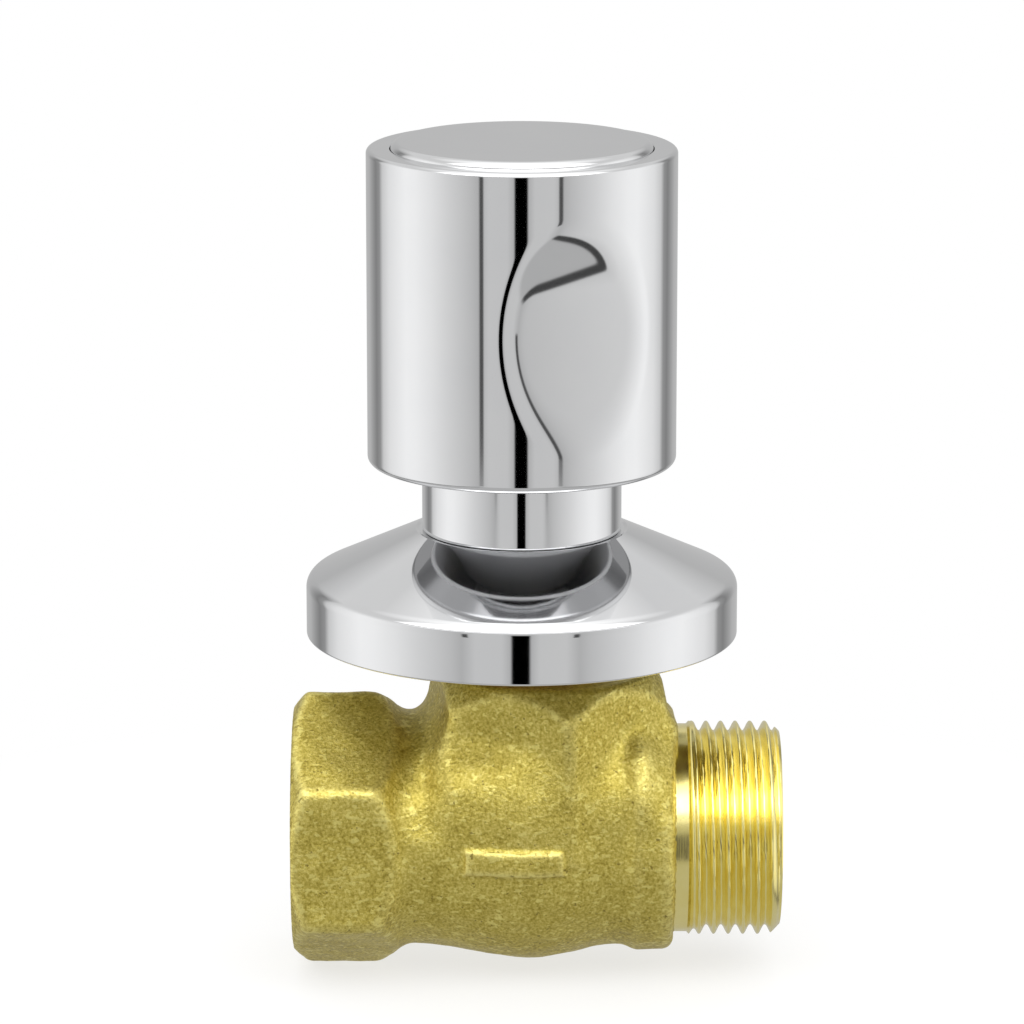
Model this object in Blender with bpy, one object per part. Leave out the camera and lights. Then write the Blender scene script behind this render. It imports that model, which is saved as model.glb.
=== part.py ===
"""Concealed stop valve: a globe-pattern brass body with a rising spindle and chrome trim.

Origin: where the pipe axis and the spindle axis cross.
+X: outlet end, with the male thread.  -X: inlet end, a hexagon with a female socket.
+Z: up the spindle, towards the handle.
"""
import math

import bmesh
import bpy
from mathutils import Matrix, Vector

MM = 0.001

# Clearance between pieces that touch or fit in each other
CLEARANCE = 0.3 * MM
RUNNING_GAP = 2.0 * MM

# Pipe run
INLET_REACH = 28.2 * MM
OUTLET_REACH = 31.9 * MM
SOCKET_RADIUS = 12.05 * MM
SOCKET_DEPTH = 14.0 * MM
SOCKET_CHAMFER = 1.2 * MM
THREAD_RADIUS = 13.22 * MM
THREAD_LENGTH = 11.2 * MM
THREAD_CHAMFER = 1.2 * MM
THREAD_PITCH = 1.814 * MM
THREAD_DEPTH = 1.16 * MM
THREAD_RUN_IN = 0.9 * MM
THREAD_RELIEF = 12.9 * MM
RELIEF_LENGTH = 2.0 * MM
OUTLET_BORE = 9.5 * MM

# Hexagon at the inlet
HEX_ACROSS_FLATS = 30.5 * MM
HEX_CORNER_LENGTH = 8.2 * MM
HEX_END_CHAMFER = 1.9 * MM
HEX_SHOULDER = 3.9 * MM

# Barrel of the casting
CAST_WALL = 2.9 * MM
BULGE_RADIUS = 16.1 * MM
BULGE_PLACE = 1.5 * MM
WAIST_RADIUS = 14.3 * MM
SADDLE_RADIUS = 14.4 * MM
SADDLE_PLACE = 12.0 * MM
BARREL_SQUARENESS = 3.3
BARREL_SQUARE_LEAD = 1.7 * MM
BARREL_SQUARE_TAIL = 2.2 * MM
BARREL_SQUARE_EASE = 4.0 * MM
COLLAR_RADIUS = 15.1 * MM
COLLAR_LENGTH = 4.2 * MM
PAD_PLACE = -0.9 * MM
PAD_LENGTH = 12.2 * MM
PAD_HEIGHT = 3.2 * MM
PAD_RISE = 0.4 * MM

# Faceted neck, set a little towards the outlet
NECK_ACROSS_FLATS = 27.2 * MM
NECK_TOP = 21.0 * MM
NECK_SHIFT = 3.2 * MM
NECK_TURN = 40.0
NECK_CHAMFER_DEPTH = 4.1 * MM
NECK_CHAMFER_WIDTH = 2.6 * MM
NECK_FLARE = 2.2 * MM
NECK_BORE = 8.6 * MM

# Partition and seat
PARTITION_WALL = 2.8 * MM
PARTITION_LEAN = 4.2 * MM
SEAT_TOP = 0.5 * MM
SEAT_RISE = 1.0 * MM
SEAT_BORE = 5.6 * MM
SEAT_LAND = 1.6 * MM

# Jumper and its washer
WASHER_RADIUS = 7.1 * MM
WASHER_THICKNESS = 2.8 * MM
JUMPER_RIM = 0.8 * MM
JUMPER_RIM_DEPTH = 1.7 * MM
JUMPER_DISC = 2.4 * MM
JUMPER_STEM_RADIUS = 2.6 * MM
JUMPER_STEM_LENGTH = 9.0 * MM
JUMPER_PIN_RADIUS = 1.5 * MM
WASHER_NUT_FLATS = 5.5 * MM
WASHER_NUT_HEIGHT = 2.2 * MM
PIN_END = 0.6 * MM

# Spindle
SPINDLE_THREAD_RADIUS = 6.2 * MM
SPINDLE_THREAD_LENGTH = 13.8 * MM
SPINDLE_RADIUS = 4.5 * MM
SPINDLE_LIFT = 4.5 * MM
SPINDLE_END_CHAMFER = 0.5 * MM
SPLINE_TEETH = 20
SPLINE_RADIUS = 4.2 * MM
SPLINE_DEPTH = 0.5 * MM
SPLINE_LENGTH = 13.4 * MM

# Bonnet
GASKET_THICKNESS = 0.8 * MM
GASKET_WIDTH = 1.2 * MM
BONNET_SPIGOT_LENGTH = 9.1 * MM
BONNET_FLATS = 19.0 * MM
BONNET_HEX_HEIGHT = 6.0 * MM
BONNET_TOP_RADIUS = 8.4 * MM
PACKING_WIDTH = 1.5 * MM
PACKING_HEIGHT = 3.4 * MM
FOLLOWER_HEIGHT = 1.0 * MM
GLAND_THREAD_LENGTH = 3.4 * MM
GLAND_FLATS = 13.0 * MM
GLAND_HEAD = 4.0 * MM
GUIDE_LENGTH = 2.6 * MM

# Sleeve, flange and collar
SLEEVE_WALL = 1.5 * MM
SLEEVE_LENGTH = 23.3 * MM
FLANGE_RADIUS = 26.45 * MM
FLANGE_BOTTOM = 25.2 * MM
FLANGE_SKIRT = 6.6 * MM
FLANGE_RISE = 6.4 * MM
FLANGE_DOME = 0.4 * MM
FLANGE_SHEET = 1.2 * MM
FLANGE_CORNER = 0.6 * MM
FLANGE_LAND = 0.4 * MM
FLANGE_NECK = 5.0 * MM
GUIDE_RING_WALL = 0.6 * MM
GUIDE_RING_HEIGHT = 4.0 * MM
COLLAR_WALL = 1.7 * MM
COLLAR_HEIGHT = 13.7 * MM
COLLAR_EDGE = 0.3 * MM

# Handle
HANDLE_RADIUS = 18.85 * MM
HANDLE_BOTTOM = 46.7 * MM
HANDLE_TOP = 85.4 * MM
HANDLE_TOP_EDGE = 0.6 * MM
HANDLE_BOTTOM_EDGE = 0.9 * MM
HANDLE_WALL = 2.2 * MM
HANDLE_PLATE = 3.0 * MM
SCALLOP_DEPTH = 1.8 * MM
SCALLOP_HALF_HEIGHT = 12.3 * MM
SCALLOP_CROWN = 110.0 * MM
SCALLOP_DROP = 0.7 * MM
SCALLOP_ANGLE = 292.0
SCALLOP_STEPS = 12
HUB_WALL = 1.9 * MM
HUB_WEB = 1.5 * MM
BUSH_WALL = 1.6 * MM
SCREW_RADIUS = 1.5 * MM
SCREW_HEAD_RADIUS = 4.0 * MM
SCREW_HEAD_HEIGHT = 2.5 * MM
SCREW_LENGTH = 12.0 * MM
SCREW_WASHER_THICKNESS = 0.8 * MM
SCREW_WASHER_WIDTH = 3.2 * MM

# Cap
CAP_RADIUS = 15.8 * MM
CAP_THICKNESS = 2.8 * MM
CAP_PROUD = 1.1 * MM
CAP_EDGE = 1.0 * MM
CAP_SPIGOT_WALL = 2.0 * MM
CAP_SPIGOT_LENGTH = 4.2 * MM
CAP_RING_SECTION = 0.5 * MM

# Facets round a full turn
FINE = 56
MEDIUM = 40
THREAD_FACETS = 26
COARSE = 24

# Heights that follow from the sizes above, bottom to top
WASHER_BOTTOM = SEAT_TOP + CLEARANCE
WASHER_TOP = WASHER_BOTTOM + WASHER_THICKNESS
DISC_BOTTOM = WASHER_TOP + CLEARANCE
DISC_TOP = DISC_BOTTOM + JUMPER_DISC
STEM_TOP = DISC_TOP + JUMPER_STEM_LENGTH
NUT_TOP = WASHER_BOTTOM - CLEARANCE
NUT_BOTTOM = NUT_TOP - WASHER_NUT_HEIGHT
SPINDLE_BOTTOM = DISC_TOP + CLEARANCE
SPINDLE_THREAD_TOP = SPINDLE_BOTTOM + SPINDLE_THREAD_LENGTH
GASKET_BOTTOM = NECK_TOP + CLEARANCE
GASKET_TOP = GASKET_BOTTOM + GASKET_THICKNESS
HEX_BOTTOM = GASKET_TOP + CLEARANCE
HEX_TOP = HEX_BOTTOM + BONNET_HEX_HEIGHT
BONNET_BOTTOM = NECK_TOP - BONNET_SPIGOT_LENGTH
THREAD_BORE_TOP = SPINDLE_THREAD_TOP + SPINDLE_LIFT + CLEARANCE
CHAMBER_BOTTOM = THREAD_BORE_TOP + GUIDE_LENGTH
PACKING_BOTTOM = CHAMBER_BOTTOM + CLEARANCE
PACKING_TOP = PACKING_BOTTOM + PACKING_HEIGHT
FOLLOWER_BOTTOM = PACKING_TOP + CLEARANCE
FOLLOWER_TOP = FOLLOWER_BOTTOM + FOLLOWER_HEIGHT
GLAND_BOTTOM = FOLLOWER_TOP + CLEARANCE
BONNET_TOP = GLAND_BOTTOM + GLAND_THREAD_LENGTH
GLAND_HEAD_BOTTOM = BONNET_TOP + CLEARANCE
GLAND_TOP = GLAND_HEAD_BOTTOM + GLAND_HEAD
SLEEVE_BOTTOM = HEX_TOP + CLEARANCE
SLEEVE_TOP = SLEEVE_BOTTOM + SLEEVE_LENGTH
SKIRT_TOP = FLANGE_BOTTOM + FLANGE_SKIRT
LAND_HEIGHT = SKIRT_TOP + FLANGE_RISE
COLLAR_BOTTOM = LAND_HEIGHT + CLEARANCE
COLLAR_TOP = COLLAR_BOTTOM + COLLAR_HEIGHT

# Heights in the handle, top to bottom
CAP_TOP = HANDLE_TOP + CAP_PROUD
CAP_BOTTOM = CAP_TOP - CAP_THICKNESS
RECESS_FLOOR = CAP_BOTTOM - CLEARANCE
PLATE_BOTTOM = RECESS_FLOOR - HANDLE_PLATE
SPIGOT_BOTTOM = CAP_BOTTOM - CAP_SPIGOT_LENGTH
HEAD_TOP = SPIGOT_BOTTOM - RUNNING_GAP
HEAD_BOTTOM = HEAD_TOP - SCREW_HEAD_HEIGHT
SCREW_WASHER_TOP = HEAD_BOTTOM - CLEARANCE
SCREW_WASHER_BOTTOM = SCREW_WASHER_TOP - SCREW_WASHER_THICKNESS
WEB_TOP = SCREW_WASHER_BOTTOM - CLEARANCE
WEB_BOTTOM = WEB_TOP - HUB_WEB
SPINDLE_TOP = WEB_BOTTOM - CLEARANCE
SPLINE_BOTTOM = SPINDLE_TOP - SPLINE_LENGTH
BUSH_TOP = WEB_BOTTOM - CLEARANCE
BUSH_BOTTOM = SPLINE_BOTTOM + CLEARANCE
HUB_BOTTOM = BUSH_BOTTOM - CLEARANCE
SCREW_BOTTOM = HEAD_BOTTOM - SCREW_LENGTH

# Radii that follow from the sizes above
HEX_CORNER = HEX_ACROSS_FLATS / 2 / math.cos(math.radians(30))
NECK_CORNER = NECK_ACROSS_FLATS / 2 / math.cos(math.radians(30))
CASTING_END = OUTLET_REACH - THREAD_LENGTH - RELIEF_LENGTH
WAIST_PLACE = -INLET_REACH + HEX_CORNER_LENGTH + HEX_END_CHAMFER + HEX_SHOULDER
SPIGOT_RADIUS = NECK_BORE - CLEARANCE
SPINDLE_THREAD_BORE = SPINDLE_THREAD_RADIUS + CLEARANCE
SPINDLE_BORE = SPINDLE_RADIUS + CLEARANCE
PACKING_RADIUS = SPINDLE_BORE + PACKING_WIDTH
CHAMBER_RADIUS = PACKING_RADIUS + CLEARANCE
SLEEVE_BORE = BONNET_TOP_RADIUS + CLEARANCE
SLEEVE_RADIUS = SLEEVE_BORE + SLEEVE_WALL
GUIDE_RING_BORE = SLEEVE_RADIUS + CLEARANCE
GUIDE_RING_RADIUS = GUIDE_RING_BORE + GUIDE_RING_WALL
FLANGE_HOLE = GUIDE_RING_RADIUS + CLEARANCE
COLLAR_BORE = SLEEVE_RADIUS + CLEARANCE
COLLAR_OUTER = COLLAR_BORE + COLLAR_WALL
LAND_RADIUS = COLLAR_OUTER + FLANGE_LAND
HANDLE_BORE = HANDLE_RADIUS - SCALLOP_DEPTH - HANDLE_WALL
SPLINE_BORE = SPLINE_RADIUS + CLEARANCE
BUSH_RADIUS = SPLINE_BORE + BUSH_WALL
HUB_BORE = BUSH_RADIUS + CLEARANCE
HUB_RADIUS = HUB_BORE + HUB_WALL
SCREW_CLEAR_HOLE = SCREW_RADIUS + CLEARANCE
RECESS_RADIUS = CAP_RADIUS + CLEARANCE
CAP_RING_OUTER = HUB_BORE - CLEARANCE
CAP_RING_INNER = CAP_RING_OUTER - 2 * CAP_RING_SECTION
CAP_GROOVE_RADIUS = CAP_RING_INNER - CLEARANCE
CAP_SPIGOT_BORE = HUB_BORE - CLEARANCE - CAP_SPIGOT_WALL


def clear_scene():
    """Remove every object, so that the model starts from nothing."""
    for item in list(bpy.data.objects):
        bpy.data.objects.remove(item, do_unlink=True)


def material(name, colour, roughness, metallic):
    """A Principled material with one colour."""
    made = bpy.data.materials.new(name)
    made.use_nodes = True
    shader = made.node_tree.nodes["Principled BSDF"]
    shader.inputs["Base Color"].default_value = (*colour, 1.0)
    shader.inputs["Roughness"].default_value = roughness
    shader.inputs["Metallic"].default_value = metallic
    return made


def add_object(name, mesh_builder, finish=None, origin=(0.0, 0.0, 0.0)):
    """Link a new object for a bmesh; its origin is moved to the given place."""
    bmesh.ops.recalc_face_normals(mesh_builder, faces=mesh_builder.faces)
    mesh_builder.transform(Matrix.Translation(-Vector(origin)))
    mesh = bpy.data.meshes.new(name)
    mesh_builder.to_mesh(mesh)
    mesh_builder.free()
    if finish:
        mesh.materials.append(finish)
        mesh.shade_smooth()
        mesh.set_sharp_from_angle(angle=math.radians(32))
    item = bpy.data.objects.new(name, mesh)
    item.location = origin
    bpy.context.scene.collection.objects.link(item)
    return item


def rounded(corners, steps=4):
    """Turn corners (radius, height, fillet) of a closed section into points with arcs at the fillets."""
    points = []
    count = len(corners)
    for index, (x, z, fillet) in enumerate(corners):
        here = Vector((x, z))
        if fillet <= 0:
            points.append(here)
            continue
        to_last = (Vector(corners[index - 1][:2]) - here).normalized()
        to_next = (Vector(corners[(index + 1) % count][:2]) - here).normalized()
        half = math.acos(max(-1.0, min(1.0, to_last.dot(to_next)))) / 2
        centre = here + (to_last + to_next).normalized() * fillet / math.sin(half)
        start = here + to_last * fillet / math.tan(half) - centre
        sweep = start.angle_signed(here + to_next * fillet / math.tan(half) - centre)
        for step in range(steps + 1):
            points.append(centre + Matrix.Rotation(-sweep * step / steps, 2) @ start)
    return points


def turned_mesh(section, segments, along_x=False):
    """Spin a closed section of (radius, height) points once round its axis."""
    builder = bmesh.new()
    points = [builder.verts.new((point[0], 0.0, point[1])) for point in section]
    edges = []
    for index, point in enumerate(points):
        following = points[(index + 1) % len(points)]
        on_axis = point.co.x < 1e-9 and following.co.x < 1e-9
        if not on_axis:
            edges.append(builder.edges.new((point, following)))
    bmesh.ops.spin(
        builder, geom=edges, cent=(0, 0, 0), axis=(0, 0, 1), dvec=(0, 0, 0),
        angle=math.tau, steps=segments, use_merge=True, use_duplicate=False,
    )
    bmesh.ops.remove_doubles(builder, verts=builder.verts, dist=1e-7)
    if along_x:
        builder.transform(Matrix.Rotation(math.pi / 2, 4, "Y"))
    return builder


def turned(name, corners, finish, segments=COARSE, along_x=False, origin=(0, 0, 0), steps=4):
    """A turned piece from the corners of its section."""
    mesh_builder = turned_mesh(rounded(corners, steps), segments, along_x)
    return add_object(name, mesh_builder, finish, origin)


def plain(*pairs):
    """Corners with no fillet, from (radius, height) pairs."""
    return [(radius, height, 0.0) for radius, height in pairs]


def tube_section(inner, outer, bottom, top, edge=0.0):
    """Section of a plain tube, with its outer edges rounded."""
    return [(outer, bottom, edge), (outer, top, edge), (inner, top, 0.0), (inner, bottom, 0.0)]


def disc_section(radius, bottom, top):
    """Section of a plain round bar."""
    return plain((0.0, bottom), (radius, bottom), (radius, top), (0.0, top))


def prism(outline, low, high):
    """Extrude a closed outline in the XY plane between two heights."""
    builder = bmesh.new()
    face = builder.faces.new([builder.verts.new((x, y, low)) for x, y in outline])
    grown = bmesh.ops.extrude_face_region(builder, geom=[face])["geom"]
    risen = [item for item in grown if isinstance(item, bmesh.types.BMVert)]
    bmesh.ops.translate(builder, verts=risen, vec=(0, 0, high - low))
    return builder


def hexagon(across_flats, turn=0.0, centre=(0.0, 0.0)):
    """The six corners of a hexagon, the first at the given turn in degrees."""
    corner = across_flats / 2 / math.cos(math.radians(30))
    corners = []
    for index in range(6):
        angle = math.radians(turn + 60 * index)
        corners.append((centre[0] + corner * math.cos(angle), centre[1] + corner * math.sin(angle)))
    return corners


def spline_outline(outer, depth):
    """Outline of a splined bar: teeth with sloping flanks."""
    corners = []
    for index in range(2 * SPLINE_TEETH):
        angle = math.pi * index / SPLINE_TEETH
        radius = outer if index % 2 == 0 else outer - depth
        corners.append((radius * math.cos(angle), radius * math.sin(angle)))
    return corners


def as_cutter(item):
    """Keep an object as a helper for Booleans only."""
    item.hide_render = True
    item.display_type = "WIRE"
    return item


def combine(target, helper, operation):
    """Join, cut or trim a piece with a helper by an exact Boolean."""
    step = target.modifiers.new(helper.name, "BOOLEAN")
    step.operation = operation
    step.solver = "EXACT"
    step.object = as_cutter(helper)


def turned_helper(name, corners, segments=COARSE, along_x=False):
    """A turned helper for a Boolean."""
    return turned(name, corners, None, segments, along_x)


def turned_trim(name, corners, along_x=False):
    """A turned envelope for a hexagon, its facets set off so that none of their edges meets a corner."""
    trim = turned_helper(name, corners, MEDIUM, along_x)
    half_facet = Matrix.Rotation(math.pi / MEDIUM, 4, "X" if along_x else "Z")
    trim.data.transform(half_facet)
    return trim


def prism_helper(name, outline, low, high, matrix=None):
    """An extruded helper for a Boolean."""
    builder = prism(outline, low, high)
    if matrix is not None:
        builder.transform(matrix)
    return add_object(name, builder)


def smooth_run(start, end, steps):
    """Points between two (height, radius) places, level at both ends."""
    points = []
    for step in range(1, steps + 1):
        part = step / steps
        ease = (1 - math.cos(math.pi * part)) / 2
        height = start[0] + (end[0] - start[0]) * part
        points.append((start[1] + (end[1] - start[1]) * ease, height))
    return points


def barrel_points():
    """Outer line of the casting from the hexagon to the end of the outlet collar, as (radius, x)."""
    collar_start = CASTING_END - COLLAR_LENGTH
    points = [(WAIST_RADIUS, WAIST_PLACE)]
    points += smooth_run((WAIST_PLACE, WAIST_RADIUS), (BULGE_PLACE, BULGE_RADIUS), 7)
    points += smooth_run((BULGE_PLACE, BULGE_RADIUS), (SADDLE_PLACE, SADDLE_RADIUS), 6)
    points += smooth_run((SADDLE_PLACE, SADDLE_RADIUS), (collar_start, COLLAR_RADIUS), 2)
    return points


def square_shoulders(barrel):
    """Fill the barrel's upper quarters under the neck: its circles become superellipses above the pipe axis."""
    start = WAIST_PLACE + BARREL_SQUARE_LEAD
    end = CASTING_END - BARREL_SQUARE_TAIL
    for point in barrel.data.vertices:
        along, across, upward = point.co
        radius = math.hypot(across, upward)
        if upward <= 0.0 or radius < CLEARANCE:
            continue
        share = min(along - start, end - along) / BARREL_SQUARE_EASE
        share = min(max(share, 0.0), 1.0)
        power = BARREL_SQUARENESS
        full = ((abs(across) / radius) ** power + (upward / radius) ** power) ** (-1 / power)
        growth = 1 + share ** 2 * (3 - 2 * share) * (full - 1)
        point.co.yz = (across * growth, upward * growth)


def valve_body(brass):
    """The casting: turned run, hexagon end, faceted neck and pad, hollowed by its cores."""
    hidden_start = -INLET_REACH + HEX_END_CHAMFER + HEX_CORNER_LENGTH / 2
    line = [(0.0, hidden_start), (WAIST_RADIUS - CLEARANCE, hidden_start)] + barrel_points()
    collar_edge = COLLAR_RADIUS - THREAD_RELIEF
    line.append((COLLAR_RADIUS, CASTING_END - collar_edge / 2))
    line.append((COLLAR_RADIUS - collar_edge / 2, CASTING_END))
    line.append((0.0, CASTING_END))
    body = turned("valve_body", plain(*line), brass, MEDIUM, along_x=True)
    square_shoulders(body)
    combine(body, threaded_end(), "UNION")
    combine(body, hexagon_end(), "UNION")
    combine(body, neck_block(), "UNION")
    combine(body, cast_pad(), "UNION")
    combine(body, water_cores(), "DIFFERENCE")
    seat_low = SEAT_TOP - SEAT_RISE - PARTITION_WALL - RUNNING_GAP
    seat_bore = turned_helper("seat_bore", disc_section(SEAT_BORE, seat_low, SEAT_TOP + RUNNING_GAP))
    combine(body, seat_bore, "DIFFERENCE")
    bore_low = BONNET_BOTTOM - 2 * RUNNING_GAP
    neck_bore = turned_helper("neck_bore", disc_section(NECK_BORE, bore_low, NECK_TOP + RUNNING_GAP), MEDIUM)
    combine(body, neck_bore, "DIFFERENCE")


def threaded_end():
    """Machined outlet: a relief, then a thread whose crest and root lines climb one pitch in each turn."""
    hidden = CASTING_END - RELIEF_LENGTH
    start = CASTING_END + RELIEF_LENGTH
    end_radius = THREAD_RADIUS - max(THREAD_CHAMFER, THREAD_DEPTH)
    last_line = 2 * math.ceil((OUTLET_REACH - start) / THREAD_PITCH) + 1
    builder = bmesh.new()
    columns = []
    for column in range(THREAD_FACETS + 1):
        part = (column + 0.5) / THREAD_FACETS
        stations = [(hidden, 0.0), (hidden, THREAD_RELIEF), (start, THREAD_RELIEF)]
        for line in range(-4, last_line):
            place = min(max(start + (line / 2 + part) * THREAD_PITCH, start), OUTLET_REACH)
            depth = THREAD_DEPTH * (line % 2) * min((place - start) / THREAD_RUN_IN, 1.0)
            stations.append((place, min(THREAD_RADIUS - depth, end_radius + OUTLET_REACH - place)))
        stations.append((OUTLET_REACH, 0.0))
        across, upward = math.cos(math.tau * part), math.sin(math.tau * part)
        columns.append([builder.verts.new((place, reach * across, reach * upward)) for place, reach in stations])
    for left, right in zip(columns, columns[1:]):
        for index in range(len(left) - 1):
            builder.faces.new((left[index], left[index + 1], right[index + 1], right[index]))
    bmesh.ops.remove_doubles(builder, verts=builder.verts, dist=1e-7)
    bmesh.ops.triangulate(builder, faces=builder.faces)
    return add_object("threaded_end", builder)


def hexagon_end():
    """The inlet hexagon, corner up, trimmed by a cone at each end as a turned nut is."""
    start = -INLET_REACH
    full = start + HEX_END_CHAMFER
    shoulder = full + HEX_CORNER_LENGTH
    end = shoulder + HEX_SHOULDER
    to_x = Matrix.Rotation(math.pi / 2, 4, "Y")
    blank = prism_helper("hexagon_end", hexagon(HEX_ACROSS_FLATS), start - RUNNING_GAP, end + RUNNING_GAP, to_x)
    beyond = HEX_CORNER + CLEARANCE
    trim = turned_trim("hexagon_trim", plain(
        (0.0, start), (HEX_ACROSS_FLATS / 2 - CLEARANCE, start), (beyond, full),
        (beyond, shoulder), (WAIST_RADIUS - CLEARANCE, end), (0.0, end),
    ), along_x=True)
    combine(blank, trim, "INTERSECT")
    return blank


def neck_block():
    """The upright hexagon under the bonnet, flared at its root and chamfered round its top."""
    low = 0.0
    centre = (NECK_SHIFT, 0.0)
    builder = prism(hexagon(NECK_ACROSS_FLATS, NECK_TURN, centre), low, NECK_TOP + RUNNING_GAP)
    side = NECK_CORNER * math.sin(math.radians(NECK_TURN + 120))
    root = math.sqrt(WAIST_RADIUS ** 2 - side ** 2)
    for step in range(4):
        height = root + NECK_FLARE * step / 3
        everything = builder.verts[:] + builder.edges[:] + builder.faces[:]
        bmesh.ops.bisect_plane(builder, geom=everything, plane_co=(0, 0, height), plane_no=(0, 0, 1))
    for point in builder.verts:
        if point.co.x > NECK_SHIFT - NECK_ACROSS_FLATS / 4:
            continue
        fall = min(1.0, max(0.0, (root + NECK_FLARE - point.co.z) / NECK_FLARE))
        point.co.x -= NECK_FLARE * (1 - math.sqrt(1 - fall ** 2))
    block = add_object("neck_block", builder)
    beyond = NECK_FLARE + RUNNING_GAP
    slope = NECK_CHAMFER_DEPTH / NECK_CHAMFER_WIDTH
    trim = turned_trim("neck_trim", plain(
        (0.0, low - RUNNING_GAP), (NECK_CORNER + beyond, low - RUNNING_GAP),
        (NECK_CORNER + beyond, NECK_TOP - NECK_CHAMFER_DEPTH - slope * beyond),
        (NECK_CORNER - NECK_CHAMFER_WIDTH, NECK_TOP), (0.0, NECK_TOP),
    ))
    trim.location = (NECK_SHIFT, 0.0, 0.0)
    combine(block, trim, "INTERSECT")
    return block


def cast_pad():
    """The small raised bar on the front of the barrel; it follows the barrel's line."""
    start = PAD_PLACE - PAD_LENGTH / 2
    end = PAD_PLACE + PAD_LENGTH / 2
    line = [(x, -radius - PAD_RISE) for radius, x in barrel_points() if start < x < end]
    back = -WAIST_RADIUS + CAST_WALL / 2
    outline = [(start, back), (start, line[0][1])] + line + [(end, line[-1][1]), (end, back)]
    return prism_helper("cast_pad", outline, -PAD_HEIGHT / 2, PAD_HEIGHT / 2)


def water_cores():
    """The two hollows of the run, before and after the seat: one turned core less the partition."""
    mouth = SOCKET_RADIUS + SOCKET_CHAMFER
    start = -INLET_REACH
    shoulder = start + SOCKET_DEPTH
    throat = WAIST_RADIUS - CAST_WALL
    line = [(0.0, start - RUNNING_GAP), (mouth, start - RUNNING_GAP), (mouth, start)]
    line += [(SOCKET_RADIUS, start + SOCKET_CHAMFER), (SOCKET_RADIUS, shoulder), (throat, shoulder)]
    line += smooth_run((shoulder + CAST_WALL / 2, throat), (BULGE_PLACE, BULGE_RADIUS - CAST_WALL), 5)
    line += smooth_run((BULGE_PLACE, BULGE_RADIUS - CAST_WALL), (CASTING_END - COLLAR_LENGTH, OUTLET_BORE), 5)
    line += [(OUTLET_BORE, OUTLET_REACH + RUNNING_GAP), (0.0, OUTLET_REACH + RUNNING_GAP)]
    core = turned_helper("water_core", plain(*line), MEDIUM, along_x=True)
    combine(core, partition(), "DIFFERENCE")
    return core


def partition():
    """The S-shaped wall with its seat ring: up to the roof before the seat, down to the floor after it."""
    top = SEAT_TOP - SEAT_RISE
    bottom = top - PARTITION_WALL
    inner = NECK_BORE + CLEARANCE
    outer = inner + PARTITION_WALL
    far = BULGE_RADIUS
    section = [
        (-inner, top), (-inner - PARTITION_LEAN, far), (-outer - PARTITION_LEAN, far), (-outer, bottom),
        (inner, bottom), (inner + PARTITION_LEAN, -far), (outer + PARTITION_LEAN, -far), (outer, top),
    ]
    upright = Matrix.Rotation(math.pi / 2, 4, "X")
    wall = prism_helper("partition", section, -far, far, upright)
    seat = turned_helper("seat_ring", disc_section(SEAT_BORE + SEAT_LAND, bottom + CLEARANCE, SEAT_TOP))
    combine(wall, seat, "UNION")
    return wall


def trimmed_nut(name, across_flats, low, high):
    """A hexagon with the corners of its top turned off."""
    blank = prism_helper(name, hexagon(across_flats), low, high + RUNNING_GAP)
    flat = across_flats / 2
    corner = flat / math.cos(math.radians(30))
    beyond = corner + RUNNING_GAP
    fall = (beyond - flat) * math.tan(math.radians(30))
    trim = turned_trim(name + "_trim", plain(
        (0.0, low - RUNNING_GAP), (beyond, low - RUNNING_GAP), (beyond, high - fall), (flat, high), (0.0, high),
    ))
    combine(blank, trim, "INTERSECT")
    return blank


def bonnet_parts(brass, fibre, graphite):
    """The headwork in the neck: gasket, bonnet, packing, follower and gland nut."""
    gasket = tube_section(NECK_BORE, NECK_BORE + GASKET_WIDTH, GASKET_BOTTOM, GASKET_TOP)
    turned("bonnet_gasket", gasket, fibre)
    chamfer = SPINDLE_END_CHAMFER
    bonnet = turned("bonnet", plain(
        (0.0, BONNET_BOTTOM), (SPIGOT_RADIUS - chamfer, BONNET_BOTTOM), (SPIGOT_RADIUS, BONNET_BOTTOM + chamfer),
        (SPIGOT_RADIUS, HEX_BOTTOM + CLEARANCE), (BONNET_TOP_RADIUS, HEX_TOP - CLEARANCE),
        (BONNET_TOP_RADIUS, BONNET_TOP - chamfer), (BONNET_TOP_RADIUS - chamfer, BONNET_TOP), (0.0, BONNET_TOP),
    ), brass)
    combine(bonnet, trimmed_nut("bonnet_hexagon", BONNET_FLATS, HEX_BOTTOM, HEX_TOP), "UNION")
    bores = {
        "bonnet_bore": disc_section(SPINDLE_THREAD_BORE, BONNET_BOTTOM - RUNNING_GAP, THREAD_BORE_TOP),
        "bonnet_guide": disc_section(SPINDLE_BORE, THREAD_BORE_TOP - CLEARANCE, CHAMBER_BOTTOM + CLEARANCE),
        "bonnet_chamber": disc_section(CHAMBER_RADIUS, CHAMBER_BOTTOM, BONNET_TOP + RUNNING_GAP),
    }
    for name, section in bores.items():
        combine(bonnet, turned_helper(name, section), "DIFFERENCE")
    turned("gland_packing", tube_section(SPINDLE_BORE, PACKING_RADIUS, PACKING_BOTTOM, PACKING_TOP), graphite)
    turned("gland_follower", tube_section(SPINDLE_BORE, PACKING_RADIUS, FOLLOWER_BOTTOM, FOLLOWER_TOP), brass)
    gland = turned("gland_nut", disc_section(PACKING_RADIUS, GLAND_BOTTOM, GLAND_HEAD_BOTTOM + CLEARANCE), brass)
    combine(gland, trimmed_nut("gland_hexagon", GLAND_FLATS, GLAND_HEAD_BOTTOM, GLAND_TOP), "UNION")
    hole = disc_section(SPINDLE_BORE, GLAND_BOTTOM - RUNNING_GAP, GLAND_TOP + RUNNING_GAP)
    combine(gland, turned_helper("gland_bore", hole), "DIFFERENCE")


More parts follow.
